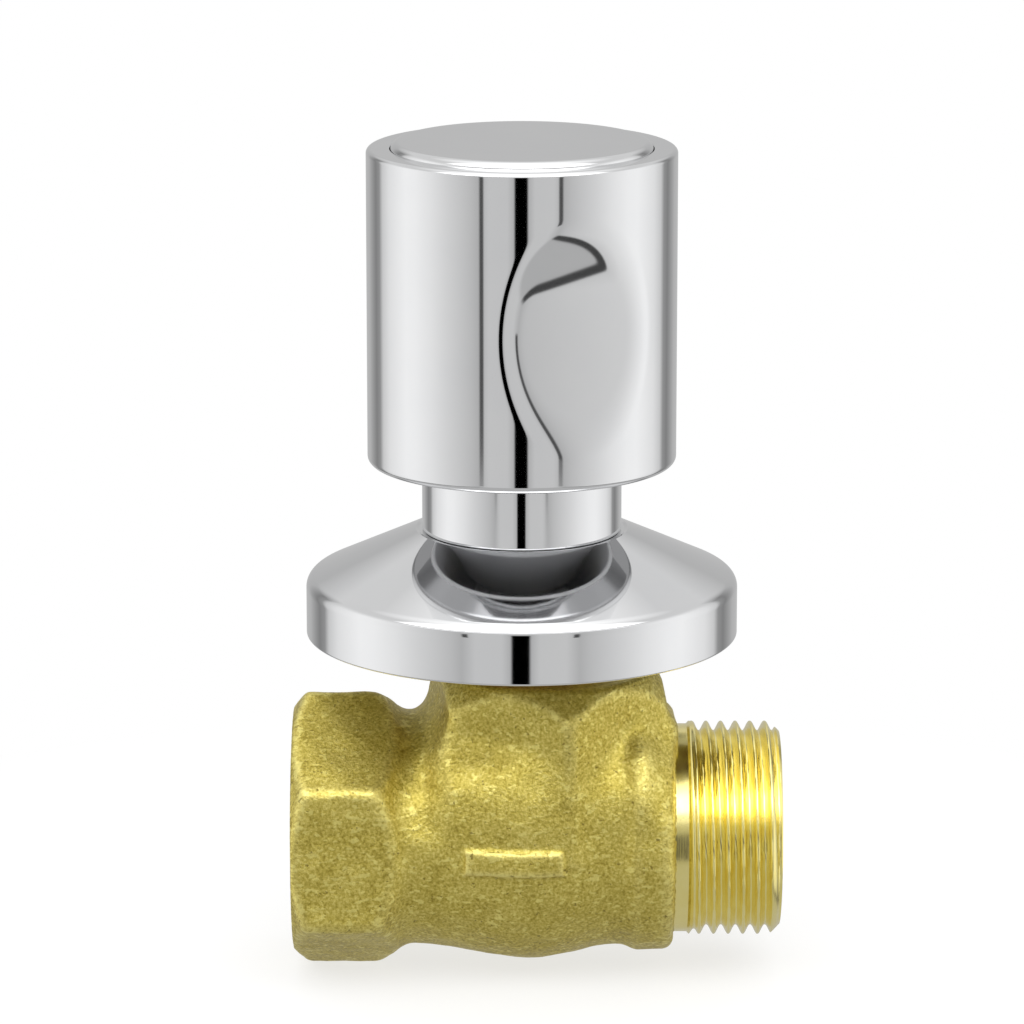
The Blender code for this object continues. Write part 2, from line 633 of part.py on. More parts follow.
def sleeve_and_flange(brass, nylon, chrome):
    """The extension tube and the trim it carries."""
    turned("extension_sleeve", tube_section(SLEEVE_BORE, SLEEVE_RADIUS, SLEEVE_BOTTOM, SLEEVE_TOP), brass, MEDIUM)
    ring_top = LAND_HEIGHT - CLEARANCE
    ring = tube_section(GUIDE_RING_BORE, GUIDE_RING_RADIUS, ring_top - GUIDE_RING_HEIGHT, ring_top)
    turned("flange_guide_ring", ring, nylon, MEDIUM)
    collar = tube_section(COLLAR_BORE, COLLAR_OUTER, COLLAR_BOTTOM, COLLAR_TOP, COLLAR_EDGE)
    turned("flange_collar", collar, chrome, MEDIUM, steps=2)
    turned("flange", flange_section(), chrome, FINE, steps=2)


def flange_section():
    """Section of the spun flange: skirt, rounded corner, domed cone, flat land and a turned-in neck."""
    slope = FLANGE_RISE / (FLANGE_RADIUS - LAND_RADIUS)
    drop = FLANGE_SHEET * math.sqrt(1 + slope ** 2)
    inside = FLANGE_RADIUS - FLANGE_SHEET
    neck = FLANGE_HOLE + FLANGE_SHEET
    neck_bottom = LAND_HEIGHT - FLANGE_NECK
    middle = (FLANGE_RADIUS + LAND_RADIUS) / 2
    crown = SKIRT_TOP + FLANGE_RISE / 2 + FLANGE_DOME
    under_neck = SKIRT_TOP - drop + slope * (FLANGE_RADIUS - neck)
    under_skirt = SKIRT_TOP - drop + slope * (FLANGE_RADIUS - inside)
    return [
        (FLANGE_RADIUS, FLANGE_BOTTOM, 0.0), (FLANGE_RADIUS, SKIRT_TOP, FLANGE_CORNER),
        (middle, crown, 0.0), (LAND_RADIUS, LAND_HEIGHT, 0.0), (FLANGE_HOLE, LAND_HEIGHT, 0.0),
        (FLANGE_HOLE, neck_bottom, 0.0), (neck, neck_bottom, 0.0),
        (neck, under_neck, 0.0), (middle, crown - drop, 0.0), (inside, under_skirt, 0.0),
        (inside, FLANGE_BOTTOM, 0.0),
    ]


def jumper_parts(brass, rubber):
    """The disc that closes the seat, its washer and the nut that holds it."""
    rim_bore = WASHER_RADIUS + CLEARANCE
    rim = rim_bore + JUMPER_RIM
    rim_bottom = DISC_BOTTOM - JUMPER_RIM_DEPTH
    pin_bottom = NUT_BOTTOM - PIN_END
    turned("jumper", plain(
        (0.0, pin_bottom), (JUMPER_PIN_RADIUS, pin_bottom), (JUMPER_PIN_RADIUS, DISC_BOTTOM),
        (rim_bore, DISC_BOTTOM), (rim_bore, rim_bottom), (rim, rim_bottom), (rim, DISC_TOP),
        (JUMPER_STEM_RADIUS, DISC_TOP), (JUMPER_STEM_RADIUS, STEM_TOP), (0.0, STEM_TOP),
    ), brass)
    hole = JUMPER_PIN_RADIUS + CLEARANCE
    turned("seat_washer", tube_section(hole, WASHER_RADIUS, WASHER_BOTTOM, WASHER_TOP), rubber)
    nut = add_object("washer_nut", prism(hexagon(WASHER_NUT_FLATS), NUT_BOTTOM, NUT_TOP), brass)
    nut_hole = disc_section(hole, NUT_BOTTOM - RUNNING_GAP, NUT_TOP + RUNNING_GAP)
    combine(nut, turned_helper("washer_nut_hole", nut_hole), "DIFFERENCE")


def spindle(brass):
    """The rising spindle: threaded foot with a bore for the jumper's stem, shank and splined head."""
    chamfer = SPINDLE_END_CHAMFER
    shaft = turned("spindle", plain(
        (0.0, SPINDLE_BOTTOM), (SPINDLE_THREAD_RADIUS - chamfer, SPINDLE_BOTTOM),
        (SPINDLE_THREAD_RADIUS, SPINDLE_BOTTOM + chamfer), (SPINDLE_THREAD_RADIUS, SPINDLE_THREAD_TOP - chamfer),
        (SPINDLE_THREAD_RADIUS - chamfer, SPINDLE_THREAD_TOP), (SPINDLE_RADIUS, SPINDLE_THREAD_TOP),
        (SPINDLE_RADIUS, SPLINE_BOTTOM - chamfer), (SPINDLE_RADIUS - chamfer, SPLINE_BOTTOM),
        (0.0, SPLINE_BOTTOM),
    ), brass)
    head_bottom = SPLINE_BOTTOM - chamfer - CLEARANCE
    splines = prism_helper("splined_head", spline_outline(SPLINE_RADIUS, SPLINE_DEPTH), head_bottom, SPINDLE_TOP)
    combine(shaft, splines, "UNION")
    stem_bore = disc_section(JUMPER_STEM_RADIUS + CLEARANCE, SPINDLE_BOTTOM - RUNNING_GAP, STEM_TOP + CLEARANCE)
    combine(shaft, turned_helper("stem_bore", stem_bore), "DIFFERENCE")
    screw_bore = disc_section(SCREW_CLEAR_HOLE, SCREW_BOTTOM - CLEARANCE, SPINDLE_TOP + RUNNING_GAP)
    combine(shaft, turned_helper("screw_bore", screw_bore), "DIFFERENCE")


def handle_section():
    """Section of the knob: outer wall, cap recess, screw pocket, web, hub and hollow underside."""
    return [
        (HANDLE_RADIUS, HANDLE_BOTTOM, HANDLE_BOTTOM_EDGE), (HANDLE_RADIUS, HANDLE_TOP, HANDLE_TOP_EDGE),
        (RECESS_RADIUS, HANDLE_TOP, 0.0), (RECESS_RADIUS, RECESS_FLOOR, 0.0),
        (HUB_BORE, RECESS_FLOOR, 0.0), (HUB_BORE, WEB_TOP, 0.0),
        (SCREW_CLEAR_HOLE, WEB_TOP, 0.0), (SCREW_CLEAR_HOLE, WEB_BOTTOM, 0.0),
        (HUB_BORE, WEB_BOTTOM, 0.0), (HUB_BORE, HUB_BOTTOM, 0.0),
        (HUB_RADIUS, HUB_BOTTOM, 0.0), (HUB_RADIUS, PLATE_BOTTOM, 0.0),
        (HANDLE_BORE, PLATE_BOTTOM, 0.0), (HANDLE_BORE, HANDLE_BOTTOM, 0.0),
    ]


def scallop(index):
    """The tool that hollows one thumb rest: an arc in height, slightly crowned across, open to the outside."""
    arc = (SCALLOP_HALF_HEIGHT ** 2 + SCALLOP_DEPTH ** 2) / (2 * SCALLOP_DEPTH)
    reach = 1.15 * SCALLOP_HALF_HEIGHT
    outside = HANDLE_RADIUS + RUNNING_GAP
    line = []
    for step in range(SCALLOP_STEPS + 1):
        height = reach * (2 * step / SCALLOP_STEPS - 1)
        line.append((HANDLE_RADIUS - SCALLOP_DEPTH + arc - math.sqrt(arc ** 2 - height ** 2), height))
    builder = bmesh.new()
    loops = []
    for share in (-1.0, -0.5, 0.0, 0.5, 1.0):
        across = share * SCALLOP_HALF_HEIGHT
        crown = across ** 2 / (2 * SCALLOP_CROWN)
        outline = [(deep - crown, height) for deep, height in line] + [(outside, reach), (outside, -reach)]
        loops.append([builder.verts.new((deep, across, height)) for deep, height in outline])
    for left, right in zip(loops, loops[1:]):
        for corner in range(len(left)):
            following = (corner + 1) % len(left)
            builder.faces.new((left[corner], left[following], right[following], right[corner]))
    builder.faces.new(loops[0])
    builder.faces.new(loops[-1])
    middle = (HANDLE_TOP + HANDLE_BOTTOM) / 2 - SCALLOP_DROP
    turn = Matrix.Rotation(math.radians(SCALLOP_ANGLE + 180 * index), 4, "Z")
    builder.transform(turn @ Matrix.Translation((0.0, 0.0, middle)))
    return add_object(f"scallop_{index + 1}", builder)


def handle_parts(chrome, nylon, steel, rubber):
    """The knob with its splined insert, screw, washer, cap and the cap's rubber ring."""
    knob = turned("handle", handle_section(), chrome, FINE, steps=3)
    for index in range(2):
        combine(knob, scallop(index), "DIFFERENCE")
    bush = turned("handle_bush", disc_section(BUSH_RADIUS, BUSH_BOTTOM, BUSH_TOP), nylon)
    splines = spline_outline(SPLINE_BORE, SPLINE_DEPTH)
    bore = prism_helper("bush_splines", splines, BUSH_BOTTOM - RUNNING_GAP, BUSH_TOP + RUNNING_GAP)
    combine(bush, bore, "DIFFERENCE")
    turned("handle_screw", plain(
        (0.0, SCREW_BOTTOM), (SCREW_RADIUS, SCREW_BOTTOM), (SCREW_RADIUS, HEAD_BOTTOM),
        (SCREW_HEAD_RADIUS, HEAD_BOTTOM), (SCREW_HEAD_RADIUS, HEAD_TOP - CLEARANCE),
        (SCREW_HEAD_RADIUS - CLEARANCE, HEAD_TOP), (0.0, HEAD_TOP),
    ), steel)
    washer_radius = SCREW_CLEAR_HOLE + SCREW_WASHER_WIDTH
    washer = tube_section(SCREW_CLEAR_HOLE, washer_radius, SCREW_WASHER_BOTTOM, SCREW_WASHER_TOP)
    turned("screw_washer", washer, steel)
    groove_middle = (PLATE_BOTTOM + RECESS_FLOOR) / 2
    groove = CAP_RING_SECTION + CLEARANCE
    turned("handle_cap", [
        (0.0, CAP_TOP, 0.0), (0.0, CAP_BOTTOM, 0.0), (CAP_SPIGOT_BORE, CAP_BOTTOM, 0.0),
        (CAP_SPIGOT_BORE, SPIGOT_BOTTOM, 0.0), (CAP_RING_OUTER, SPIGOT_BOTTOM, 0.0),
        (CAP_RING_OUTER, groove_middle - groove, 0.0), (CAP_GROOVE_RADIUS, groove_middle - groove, 0.0),
        (CAP_GROOVE_RADIUS, groove_middle + groove, 0.0), (CAP_RING_OUTER, groove_middle + groove, 0.0),
        (CAP_RING_OUTER, CAP_BOTTOM, 0.0), (CAP_RADIUS, CAP_BOTTOM, 0.0), (CAP_RADIUS, CAP_TOP, CAP_EDGE),
    ], chrome, MEDIUM, steps=2)
    ring = []
    for step in range(8):
        angle = math.tau * step / 8
        along = CAP_RING_INNER + CAP_RING_SECTION * (1 + math.cos(angle))
        ring.append((along, groove_middle + CAP_RING_SECTION * math.sin(angle)))
    turned("cap_ring", plain(*ring), rubber)


def build_valve():
    """All pieces of the valve, each with its material."""
    cast_brass = material("cast_brass", (0.52, 0.41, 0.12), 0.55, 1.0)
    brass = material("machined_brass", (0.83, 0.66, 0.26), 0.30, 1.0)
    chrome = material("chrome", (0.78, 0.79, 0.80), 0.06, 1.0)
    steel = material("stainless_steel", (0.60, 0.60, 0.60), 0.30, 1.0)
    rubber = material("black_rubber", (0.03, 0.03, 0.03), 0.65, 0.0)
    fibre = material("red_fibre", (0.45, 0.12, 0.07), 0.80, 0.0)
    graphite = material("graphite_packing", (0.08, 0.08, 0.08), 0.60, 0.0)
    nylon = material("white_nylon", (0.85, 0.84, 0.80), 0.45, 0.0)
    valve_body(cast_brass)
    bonnet_parts(brass, fibre, graphite)
    sleeve_and_flange(brass, nylon, chrome)
    jumper_parts(brass, rubber)
    spindle(brass)
    handle_parts(chrome, nylon, steel, rubber)


clear_scene()
build_valve()
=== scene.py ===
"""Looks of the concealed stop valve: cast body, pipe threads, polished trim, finishes, studio and camera.

Sizes are in millimetres until a mesh is made. The frame is the CAD's: +X to the outlet, +Z up the spindle.
An ease is how near two forms come before one flows into the other.
"""
import math

import bmesh
import bpy
import numpy as np
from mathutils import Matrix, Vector


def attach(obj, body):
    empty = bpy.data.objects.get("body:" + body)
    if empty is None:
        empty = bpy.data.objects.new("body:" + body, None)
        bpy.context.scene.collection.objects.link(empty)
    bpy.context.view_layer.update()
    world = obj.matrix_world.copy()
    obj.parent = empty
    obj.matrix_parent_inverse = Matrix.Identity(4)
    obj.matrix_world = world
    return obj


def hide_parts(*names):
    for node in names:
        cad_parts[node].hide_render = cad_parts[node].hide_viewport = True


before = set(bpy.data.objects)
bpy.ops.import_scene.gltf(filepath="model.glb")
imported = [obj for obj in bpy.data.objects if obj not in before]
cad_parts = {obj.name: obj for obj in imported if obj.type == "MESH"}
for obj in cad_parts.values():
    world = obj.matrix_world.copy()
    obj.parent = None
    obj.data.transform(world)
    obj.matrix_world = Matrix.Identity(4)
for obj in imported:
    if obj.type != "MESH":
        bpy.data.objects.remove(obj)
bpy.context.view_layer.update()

MM = 0.001
TURN = 2 * math.pi
SHARP_ANGLE = 30.0
WHITE = (1.0, 1.0, 1.0, 1.0)

# Casting along the pipe; a pair is a place along X and the radius there
INLET_END = -28.2
HEX_FLAT = 15.25
HEX_CORNER = 17.61
HEX_FULL_START = -26.3
HEX_FULL_END = -18.1
HEX_LEEWAY = 0.3
HEX_EASE = 0.9
MOUTH_EASE = 0.6
SHOULDER_EASE = 0.7
HEX_UNION_EASE = 1.1
WAIST = (-14.2, 14.3)
BULGE = (1.5, 16.1)
SADDLE = (12.0, 14.4)
END_COLLAR = (14.5, 15.1)
BARREL_LINE = (WAIST, BULGE, SADDLE, END_COLLAR)
BARREL_EASE = 1.6
CASTING_END = 18.7
STUB_END = 19.2
STUB_RADIUS = 12.6
STUB_DEPTH = 2

# Squared upper half of the barrel: the superellipse's power, its span along X and its fade at both ends
SQUARENESS = 3.3
SQUARE_START = -12.5
SQUARE_END = 18.5
SQUARE_FADE = 4.0
NO_RADIUS = 1e-6
NO_GROWTH = 1e-9

# Hexagon neck round the spindle, whose first flat is turned a little from X
NECK_CENTRE = 3.2
NECK_FLAT = 13.6
NECK_TURN = 10.0
NECK_TOP = 21.0
NECK_CHAMFER_START = 16.9
NECK_CORNER = 15.7
NECK_RIM = 13.1
NECK_EASE = 1.0
RIM_EASE = 0.4
NECK_FOOT_EASE = 0.5
NECK_BORE = 8.6
NECK_BORE_FOOT = 8.0

# Ease between neck and barrel, and how much it grows towards either side over a span of X
NECK_UNION_EASE = 1.6
INLET_SIDE_EASE = 2.6
INLET_SIDE = (6.5, 10.5)
OUTLET_SIDE_EASE = 2.0
OUTLET_SIDE = (10.0, 14.0)

# Raised pad on the front
PAD_START = -7.0
PAD_END = 5.2
PAD_HALF_HEIGHT = 1.6
PAD_RISE = 0.5
PAD_EASE = 0.5
PAD_UNION_EASE = 0.2

# Water way, partition and seat
CAST_WALL = 2.9
SOCKET_END = -14.2
SOCKET_BORE = 13.35
OUTLET_BORE = 9.5
WATER_WAY = (
    (SOCKET_END, WAIST[1] - CAST_WALL),
    (BULGE[0], BULGE[1] - CAST_WALL),
    (END_COLLAR[0], OUTLET_BORE),
)
SEAT_TOP = 0.5
SEAT_BORE = 5.6
SEAT_RADIUS = 7.2
SEAT_EASE = 0.5
SEAT_CUT = 2
PARTITION_TOP = -0.5
PARTITION_BOTTOM = -3.3
PARTITION_REACH = 8.9
PARTITION_LEAN = 4.2
PARTITION_WALL = 2.8
PARTITION_EASE = 0.6

# Unevenness of sand casting, which fades out towards the machined top and inlet end
SAND_WAVES = 9
SAND_LENGTH = 1.1
SAND_LENGTH_STEP = 0.6
SAND_HEIGHT = 0.006
SAND_HEIGHT_STEP = 0.0022
SAND_TURN = 0.7
SAND_TURN_STEP = 2.4
SAND_TILT = 1.1
SAND_TILT_STEP = 1.7
SAND_SHIFT_STEP = 1.9
SAND_FADE_TOP = 0.5
SAND_FADE_INLET = (-28.0, -27.0)

# Mesh of the casting: the plug that cuts the CAD's thread off, the even size, the drawing and the wear
CUTTER_END = 40.0
CUTTER_RADIUS = 20.0
CUTTER_CORE = 0.5
CUTTER_COLUMNS = 48
MERGE_DISTANCE = 1e-6
REMESH_SIZE = 0.39
DRAW_ROUNDS = 6
SLOPE_STEP = 0.01
LEAST_SLOPE = 0.25
LONGEST_DRAW = 0.7
CASTING_SHARP_ANGLE = 55.0
WEAR_REACH = 0.7
WEAR_OWN_SHARE = 0.9
WEAR_GAIN = 7
WEAR_CUT = 0.1

# Three-quarter inch pipe thread
THREAD_PITCH = 1.814
THREAD_CREST = 13.22
THREAD_ROOT = 12.06
THREAD_STEEPNESS = 1.22
THREAD_ROUNDING = 0.55
THREAD_EASE = 0.12
THREAD_COLUMNS = 128
END_SETBACK = 0.02

# Machined outlet
THREAD_START = 20.7
THREAD_RUN_IN = 0.9
OUTLET_END = 31.9
OUTLET_STEP = 0.09
OUTLET_LAP = 0.3
RELIEF_RADIUS = 12.9
RELIEF_GAP = 0.3
RELIEF_RISE = 0.25
END_CHAMFER = 1.2
BORE_CHAMFER = 0.5
BORE_LINER = 0.05

# Inlet socket
SOCKET_MOUTH = 13.3
SOCKET_STEP = 0.1
SOCKET_RUN_OUT = (1.2, 2.6)
SOCKET_BED = 0.1

# Extension tube
SLEEVE_RADIUS = 10.2
SLEEVE_BORE = 8.7
SLEEVE_BOTTOM = 28.7
SLEEVE_TOP = 52.0
SLEEVE_PITCH = 1.0
SLEEVE_GROOVE = 0.45
SLEEVE_STEP = 0.1
SLEEVE_FIRST_ROW = 0.3
SLEEVE_LAST_ROW = 0.25
SLEEVE_FADE = 0.4
SLEEVE_COLUMNS = 96

# Flange and collar
FLANGE_RADIUS = 26.45
FLANGE_BOTTOM = 25.2
SKIRT_TOP = 32.17
FLANGE_CORNER = 1.7
CONE_INNER_RADIUS = 13.0
CONE_INNER_HEIGHT = 38.38
LAND_RADIUS = 12.6
LAND_HEIGHT = 38.2
FLANGE_HOLE = 11.4
FLANGE_NECK_BOTTOM = 33.2
FLANGE_SHEET = 1.2
FLANGE_COLUMNS = 288
COLLAR_BORE = 10.5
COLLAR_OUTER = 12.2
COLLAR_BOTTOM = 38.23
COLLAR_TOP = 52.2
COLLAR_COLUMNS = 256
COLLAR_ARC_STEPS = 6

# Knob
KNOB_RADIUS = 18.85
KNOB_BOTTOM = 46.7
KNOB_TOP = 85.4
KNOB_BORE = 14.85
KNOB_COLUMNS = 400
KNOB_STEP = 0.3
KNOB_EDGE = 0.5
KNOB_SKIN = 0.1
RECESS_RADIUS = 15.98
RECESS_FLOOR = 83.4
PLATE_BOTTOM = 80.4
HUB_BORE = 6.4
HUB_RADIUS = 8.3
HUB_BOTTOM = 58.4
WEB_BOTTOM = 72.1
WEB_TOP = 73.6
SCREW_HOLE = 1.8

# Thumb rests
SCALLOP_ANGLES = (292.0, 112.0)
SCALLOP_HEIGHT = 65.35
SCALLOP_DEPTH = 1.8
SCALLOP_HALF_HEIGHT = 12.3
SCALLOP_SPAN = 1.6
SCALLOP_CROWN = 110.0
SCALLOP_EASE = 0.75
SCALLOP_FACING = 0.3
LEAST_FACING = 1e-3
OUT_OF_REACH = 50

# Cap disc
CAP_RADIUS = 15.9
CAP_TOP = 86.2
CAP_BOTTOM = 83.7
CAP_EDGE = 1.0
CAP_POLE = 0.4
CAP_COLUMNS = 256
SPIGOT_BORE = 4.1
SPIGOT_RADIUS = 6.1
SPIGOT_BOTTOM = 79.5
GROOVE_BOTTOM = 81.1
GROOVE_TOP = 82.7
GROOVE_RADIUS = 4.8


# Shapes

ARC_STEPS = 10
LEAD_IN = 0.08


def rounded(corners, steps=ARC_STEPS):
    """Section points from corners (radius, height, fillet).

    A fillet is the arc tangent to both sides of its corner, with a lead-in point on each side so that
    the flat beside it keeps its own normal.
    """
    points = []
    for index, (x, z, fillet) in enumerate(corners):
        here = np.array([x, z], float)
        if fillet <= 0:
            points.append(here)
            continue
        back = np.array(corners[index - 1][:2], float) - here
        ahead = np.array(corners[(index + 1) % len(corners)][:2], float) - here
        back /= np.linalg.norm(back)
        ahead /= np.linalg.norm(ahead)
        half = math.acos(float(back @ ahead)) / 2
        reach = fillet / math.tan(half)
        centre = here + (back + ahead) / np.linalg.norm(back + ahead) * fillet / math.sin(half)
        start = here + back * reach - centre
        end = here + ahead * reach - centre
        swing = math.atan2(start[0] * end[1] - start[1] * end[0], float(start @ end))
        lead = LEAD_IN * fillet
        points.append(here + back * (reach + lead))
        for angle in np.linspace(0, swing, steps + 1):
            turn = np.array([[math.cos(angle), -math.sin(angle)], [math.sin(angle), math.cos(angle)]])
            points.append(centre + turn @ start)
        points.append(here + ahead * (reach + lead))
    return np.array(points)


def refined(section, longest, low, high, beyond):
    """The closed section with some sides cut to short steps.

    They are the sides that lie outside the radius `beyond` and between the heights `low` and `high`.
    """
    pieces = []
    for here, there in zip(section, np.roll(section, -1, axis=0)):
        bottom, top = sorted((here[1], there[1]))
        outside = min(here[0], there[0]) > beyond and bottom > low and top < high
        count = max(1, math.ceil(np.linalg.norm(there - here) / longest)) if outside else 1
        pieces.append(here + (there - here) * np.arange(count)[:, None] / count)
    return np.concatenate(pieces)


def turned_about_z(section, columns):
    """Points (rows, columns, 3): each (radius, height) of the section swept once round the Z axis."""
    angle = TURN * np.arange(columns) / columns
    radius = section[:, 0][:, None]
    height = np.broadcast_to(section[:, 1][:, None], (len(section), columns))
    return np.stack([radius * np.cos(angle), radius * np.sin(angle), height], axis=-1)


def turned_about_x(radius, along):
    """Points (rows, columns, 3) from radius and place along X, both arrays of (rows, columns)."""
    columns = radius.shape[1]
    angle = TURN * np.arange(columns) / columns
    return np.stack([along, radius * np.cos(angle), radius * np.sin(angle)], axis=-1)


def grid_faces(rows, columns, ring):
    """Quads of a grid whose columns close round; with ring, its last row joins its first too."""
    last = rows if ring else rows - 1
    row = np.arange(last)[:, None]
    column = np.arange(columns)[None, :]
    after = (column + 1) % columns
    below = (row + 1) % rows
    upper = [row * columns + column, row * columns + after]
    lower = [below * columns + after, below * columns + column]
    return np.stack(upper + lower, axis=-1).reshape(-1, 4)


def pole_faces(rows, columns):
    """Triangles from the first and the last row to two pole points that follow the grid's own."""
    column = np.arange(columns)
    after = (column + 1) % columns
    first_pole = np.full(columns, rows * columns)
    last_pole = first_pole + 1
    start = (rows - 1) * columns
    first = np.stack([first_pole, after, column], axis=-1)
    last = np.stack([last_pole, start + column, start + after], axis=-1)
    return np.concatenate([first, last])


def enclosed_volume(points, triangles):
    """Six times the signed volume inside a closed surface: the sum of the triangles' triple products."""
    a, b, c = (points[triangles[:, index]] for index in range(3))
    return float(np.einsum("ij,ij->", a, np.cross(b, c)))


def linked(name, data):
    """An object in the scene for a mesh or a camera."""
    made = bpy.data.objects.new(name, data)
    bpy.context.scene.collection.objects.link(made)
    return made


def dressed(name, mesh, body, look, sharp=SHARP_ANGLE):
    """An object for a finished mesh, smooth but for its sharp edges, riding on its body."""
    mesh.update()
    mesh.shade_smooth()
    mesh.set_sharp_from_angle(angle=math.radians(sharp))
    mesh.materials.clear()
    mesh.materials.append(look)
    made = linked(name, mesh)
    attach(made, body)
    return made


def piece(name, points, body, look, ring=True):
    """A closed piece from a grid of points in millimetres: a ring, or a skin closed by a pole at each end."""
    rows, columns = points.shape[:2]
    flat = points.reshape(-1, 3)
    quads = grid_faces(rows, columns, ring)
    triangles = np.empty((0, 3), int)
    if not ring:
        flat = np.concatenate([flat, points[0].mean(0)[None], points[-1].mean(0)[None]])
        triangles = pole_faces(rows, columns)
    halves = np.concatenate([quads[:, [0, 1, 2]], quads[:, [0, 2, 3]], triangles])
    if enclosed_volume(flat, halves) < 0:
        quads = quads[:, ::-1]
        triangles = triangles[:, ::-1]
    mesh = bpy.data.meshes.new(name)
    mesh.from_pydata((flat * MM).tolist(), [], quads.tolist() + triangles.tolist())
    return dressed(name, mesh, body, look)


def smooth_min(a, b, ease):
    """The smaller of two fields, eased where they differ by less than the ease.

    With gap for the ease less the difference, it is the smaller one minus gap squared over four eases.
    """
    gap = np.maximum(ease - np.abs(a - b), 0.0)
    return np.minimum(a, b) - gap * gap / (4 * ease)


def smooth_max(a, b, ease):
    """The larger of two fields, eased in the same way."""
    return -smooth_min(-a, -b, ease)


def smooth_step(value, low, high):
    """0 below low, 1 above high, and the cubic 3t^2 - 2t^3 between."""
    part = np.clip((value - low) / (high - low), 0.0, 1.0)
    return part * part * (3 - 2 * part)


# Cast body

def eased_line(x, stations):
    """Radius along X through stations (x, radius), with half a cosine wave between neighbours."""
    places = np.array([station[0] for station in stations])
    radii = np.array([station[1] for station in stations])
    index = np.clip(np.searchsorted(places, x) - 1, 0, len(places) - 2)
    part = np.clip((x - places[index]) / (places[index + 1] - places[index]), 0.0, 1.0)
    rise = (1 - np.cos(math.pi * part)) / 2
    return radii[index] + (radii[index + 1] - radii[index]) * rise


def hexagon_field(across, upward, flat, turn, ease):
    """Distance from a hexagon's sides: the largest of three paired flats, eased at the corners."""
    field = None
    for angle in (turn, turn + 60, turn + 120):
        normal = math.radians(angle)
        side = np.abs(across * math.cos(normal) + upward * math.sin(normal)) - flat
        field = side if field is None else smooth_max(field, side, ease)
    return field


def cone_field(x, radius, start, end):
    """Distance above the straight line between two (x, radius) places, turned round the X axis."""
    run = end[0] - start[0]
    rise = end[1] - start[1]
    return ((radius - start[1]) * run - (x - start[0]) * rise) / math.hypot(run, rise)


def square_growth(x, y, z, radius):
    """How many times the barrel's upper half grows where it is squared.

    Fully squared it is a superellipse: one over the power's root of across to the power plus upward to
    the power, with across and upward as shares of the radius. The growth fades in and out along X.
    """
    share = smooth_step(np.minimum(x - SQUARE_START, SQUARE_END - x), 0.0, SQUARE_FADE)
    across = np.abs(y) / np.maximum(radius, NO_RADIUS)
    upward = np.maximum(z, 0.0) / np.maximum(radius, NO_RADIUS)
    full = (across ** SQUARENESS + upward ** SQUARENESS + NO_GROWTH) ** (-1 / SQUARENESS)
    return np.where(z > 0, 1 + share * (full - 1), 1.0)


def hexagon_end(x, y, z, radius):
    """Hexagon inlet end between two cones: the chamfered mouth and the shoulder towards the waist."""
    mouth_start = (INLET_END, HEX_FLAT - HEX_LEEWAY)
    shoulder_end = (WAIST[0], WAIST[1] - HEX_LEEWAY)
    mouth = cone_field(x, radius, mouth_start, (HEX_FULL_START, HEX_CORNER + HEX_LEEWAY))
    shoulder = cone_field(x, radius, (HEX_FULL_END, HEX_CORNER + HEX_LEEWAY), shoulder_end)
    hexagon = hexagon_field(y, z, HEX_FLAT, 0.0, HEX_EASE)
    return smooth_max(smooth_max(hexagon, mouth, MOUTH_EASE), shoulder, SHOULDER_EASE)


def hexagon_neck(x, y, z):
    """Faceted neck upward from the pipe's axis, its top chamfered by a cone round its own axis."""
    outward = np.hypot(x - NECK_CENTRE, y)
    neck = hexagon_field(x - NECK_CENTRE, y, NECK_FLAT, NECK_TURN, NECK_EASE)
    rim = cone_field(z, outward, (NECK_CHAMFER_START, NECK_CORNER), (NECK_TOP, NECK_RIM))
    return smooth_max(smooth_max(neck, rim, RIM_EASE), -z, NECK_FOOT_EASE)


def raised_pad(x, y, z, surface):
    """Pad on the front: a rectangle in X and Z that stands a little above the barrel's surface."""
    along = np.abs(x - (PAD_START + PAD_END) / 2) - (PAD_END - PAD_START) / 2
    side = np.maximum(along, np.abs(z) - PAD_HALF_HEIGHT)
    return smooth_max(smooth_max(surface - PAD_RISE, side, PAD_EASE), y, PAD_EASE)


def outer_field(x, y, z):
    """Outside of the casting: turned barrel, hexagon end, faceted neck and pad, each eased into the next."""
    radius = np.hypot(y, z)
    line = eased_line(x, BARREL_LINE)
    barrel = smooth_max(radius - line * square_growth(x, y, z, radius), x - CASTING_END, BARREL_EASE)
    body = smooth_min(barrel, hexagon_end(x, y, z, radius), HEX_UNION_EASE)
    inlet_side = INLET_SIDE_EASE * smooth_step(-x, *INLET_SIDE)
    outlet_side = OUTLET_SIDE_EASE * smooth_step(x, *OUTLET_SIDE)
    body = smooth_min(body, hexagon_neck(x, y, z), NECK_UNION_EASE + inlet_side + outlet_side)
    return smooth_min(body, raised_pad(x, y, z, radius - line), PAD_UNION_EASE)


